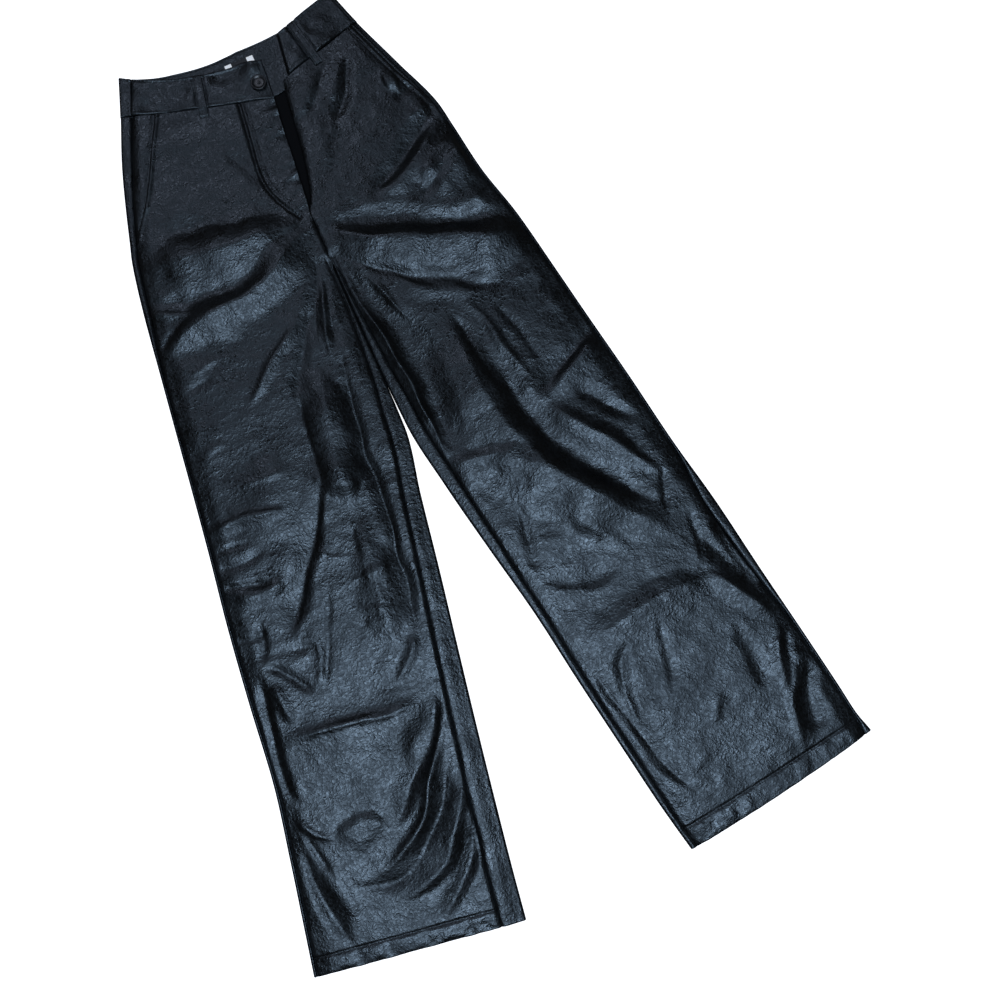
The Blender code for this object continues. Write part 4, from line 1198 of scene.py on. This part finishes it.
def front_lines(rows):
    """The stitches along a slanted pocket's mouth, and round a hem."""
    mouth = cut_at(rows, np.linspace(POCKET_END + 4, 510, 60))
    hem = cut_at(rows, np.full(80, rows[-1].outer_y + HEM_ROW))
    across = mix(hem.mouth_in + 2, width_of(hem) - hem.inseam_in - 2, np.linspace(0, 1, 80))
    pairs = (front_place(mouth, mouth.mouth_in + MOUTH_ROW), front_place(hem, across))
    return [np.column_stack(pair) for pair in pairs]


def tack(middle, turn, length=7.0):
    """A short zigzag of close stitches across a place."""
    run = np.linspace(-0.5, 0.5, 15)
    zigzag = np.column_stack([run * length, np.where(np.arange(15) % 2, 0.9, -0.9)])
    c, s = math.cos(turn), math.sin(turn)
    return zigzag @ np.array([[c, s], [-s, c]]) + middle


tab_lines = band_lines(RIGHT, 15, EDGE_ROW)
tab_lines.append([tab_lines[1][-1], tab_lines[0][-1]])
sewn("right_band_stitches", BANDS["right"], tab_lines)
sewn("left_band_stitches", BANDS["left"], band_lines(LEFT, 6, 4))

right_lines = front_lines(RIGHT) + [rounded(path) for path in FLY_ROWS]
right_lines += [tack((-4, 297), 0.35, 12), tack(right_lines[0][0] - [3, 0], 0.2)]
sewn("right_front_stitches", FRONTS["right"], right_lines)
sewn("left_front_stitches", FRONTS["left"], front_lines(LEFT))

# Belt loops. Each is a strip of leather folded to 10 mm, edge-stitched down both sides,
# and tacked to the band at its top and over the waist seam at its bottom.
LOOP_WIDTH, LOOP_WALL = 10.0, 1.8
LOOP_ROW = 1.9  # its stitches are this far in from each edge
Loop = namedtuple("Loop", "name node top bottom level arch")
LOOPS = [
    Loop("right_loop", "belt_loop_front_right", *RIGHT_LOOP, 11.9, 1.1),
    Loop("left_loop", "belt_loop_front_left", *LEFT_LOOP, 13.4, 1.1),
    Loop("back_loop_right", "belt_loop_back_right", (-76, 541), (-84, 481), 0, 0),
    Loop("back_loop_centre", "belt_loop_back_centre", (1, 537), (1, 476), 0, 0),
    Loop("back_loop_left", "belt_loop_back_left", (76, 541), (84, 481), 0, 0),
]
for loop in LOOPS:
    top, bottom = np.array(loop.top, float), np.array(loop.bottom, float)
    run = bottom - top
    long = np.hypot(*run)
    side = np.array([-run[1], run[0]]) / long
    down = spread(0, long, 36)[:, None]
    out = spread(-LOOP_WIDTH / 2, LOOP_WIDTH / 2, 16)[None]
    x, y = (top[i] + run[i] * down / long + side[i] * out for i in (0, 1))
    level = loop.level + loop.arch * np.sin(np.pi * down / long) ** 0.5
    front = loop.arch > 0
    if front:
        from_side = LOOP_WIDTH / 2 - np.abs(out)
        ends = dip(down - 2.5, 2) + dip(long - down - 2.5, 2)
        edges = 0.28 * dip(from_side - 0.8, 0.8) - 0.35 * dip(from_side - LOOP_ROW, 0.7)
        level = level + (edges + 0.35 * ends)
        level = level - (smooth((down - long + 14) / 8) + smooth((down - long + 3.2) / 3.2))
    else:
        level = level + 0.1
    up, lies_on = (1, ["right_waistband", "left_waistband"]) if front else (-1, ["floor"])
    piece = shell(loop.name, grid_of(x, y, level), LOOP_WALL, up, BAND_LEATHER, rings=3)
    mounted(piece, loop.node)
    if front:
        out = side * (LOOP_WIDTH / 2 - LOOP_ROW)
        ends = np.array([top, bottom]) + [(0, -2), (0, 2)]
        turn, away = math.atan2(side[1], side[0]), run / long * 2.5
        lines = [ends - out, ends + out, tack(top + away, turn), tack(bottom - away, turn)]
        sewn(loop.name + "_stitches", piece, lines, pitch=2.6, stitch=2.1, thread=0.45)

# Button. Turned from black resin with a rolled rim and a dished face, on a short shank.
BUTTON_BASE, BUTTON_TURNS = 10.0, 56
BUTTON_PROFILE = [  # from the middle of its face to the middle of its shank: radius, height
    (0.01, 2.45), (1.2, 2.42), (2.0, 2.2), (3.0, 2.1), (5.6, 2.15), (6.8, 2.4), (7.6, 2.95),
    (8.2, 3.3), (8.8, 3.4), (9.4, 3.2), (9.85, 2.75), (10, 2.2), (9.8, 1.6), (9.2, 1.1),
    (7.5, 0.8), (4.4, 0.6), (4.0, 0.2), (3.9, -0.9), (0.01, -0.9),
]
turns = np.linspace(0, 2 * math.pi, BUTTON_TURNS, endpoint=False)
radius, rise = np.array(BUTTON_PROFILE).T[..., None]
x, y = BUTTON_PLACE[0] + radius * np.cos(turns), BUTTON_PLACE[1] + radius * np.sin(turns)
points = grid_of(x, y, BUTTON_BASE + rise)
index = np.arange(x.size).reshape(x.shape)
beside = np.roll(index, -1, 1)
faces = np.stack([index[:-1], index[1:], beside[1:], beside[:-1]], -1).reshape(-1, 4).tolist()
faces += [index[0].tolist(), index[-1, ::-1].tolist()]
RESIN, place, shader = finish("black_resin")
scuffs = noise(place, 700, 4, 0.4)
scuffed = scuffs.within(0.45, 0.75)
filled(shader, {
    "Base Color": blended(scuffed, (0.006, 0.007, 0.008), (0.02, 0.022, 0.024)),
    "Roughness": 0.2 + scuffs * 0.2,
})
button = smooth_piece("shank_button", points, faces, RESIN)
stands_for(button, "button")

# Label. A plain woven tape inside the back of the waistband, white where its ends are
# turned under and sewn, and black between them. It is left bare.
LABEL_PLACE, LABEL_SIZE = (-1.8, 519.5), (37, 10)
LABEL_TOP, LABEL_WALL, LABEL_CURL = 5.7, 0.8, 0.25
WOVEN_PAINTED_GLOW, place, shader = finish("woven_label")
across = grown(place.tree, "ShaderNodeSeparateXYZ", {}, {"Vector": place}, "X")
end = (across - LABEL_PLACE[0] * MM).size().within(0.0100, 0.0103)
weave = waves(place, 1100, "DIAGONAL")
pale = end * (0.86 + weave * 0.14)
colour = blended(pale, (0.012, 0.013, 0.015), (0.86, 0.87, 0.88))
filled(shader, {
    "Base Color": colour,
    "Emission Color": colour,
    "Emission Strength": 0.4,  # painted light: the bright yarn and the rest of the label glow a little, though the label is no lamp
    "Normal": bumps(weave, 0.4, 0.0002),
    "Roughness": 0.55 + weave * 0.15,
})
x = LABEL_PLACE[0] + spread(-LABEL_SIZE[0] / 2, LABEL_SIZE[0] / 2, 40)[None]
y = LABEL_PLACE[1] + spread(-LABEL_SIZE[1] / 2, LABEL_SIZE[1] / 2, 14)[::-1][:, None]
curl = LABEL_CURL * np.cos((x - LABEL_PLACE[0]) / 5.5)
label = shell("blank_label", grid_of(x, y, LABEL_TOP + curl), LABEL_WALL, 1, WOVEN_PAINTED_GLOW)
mounted(label, "waist_label")
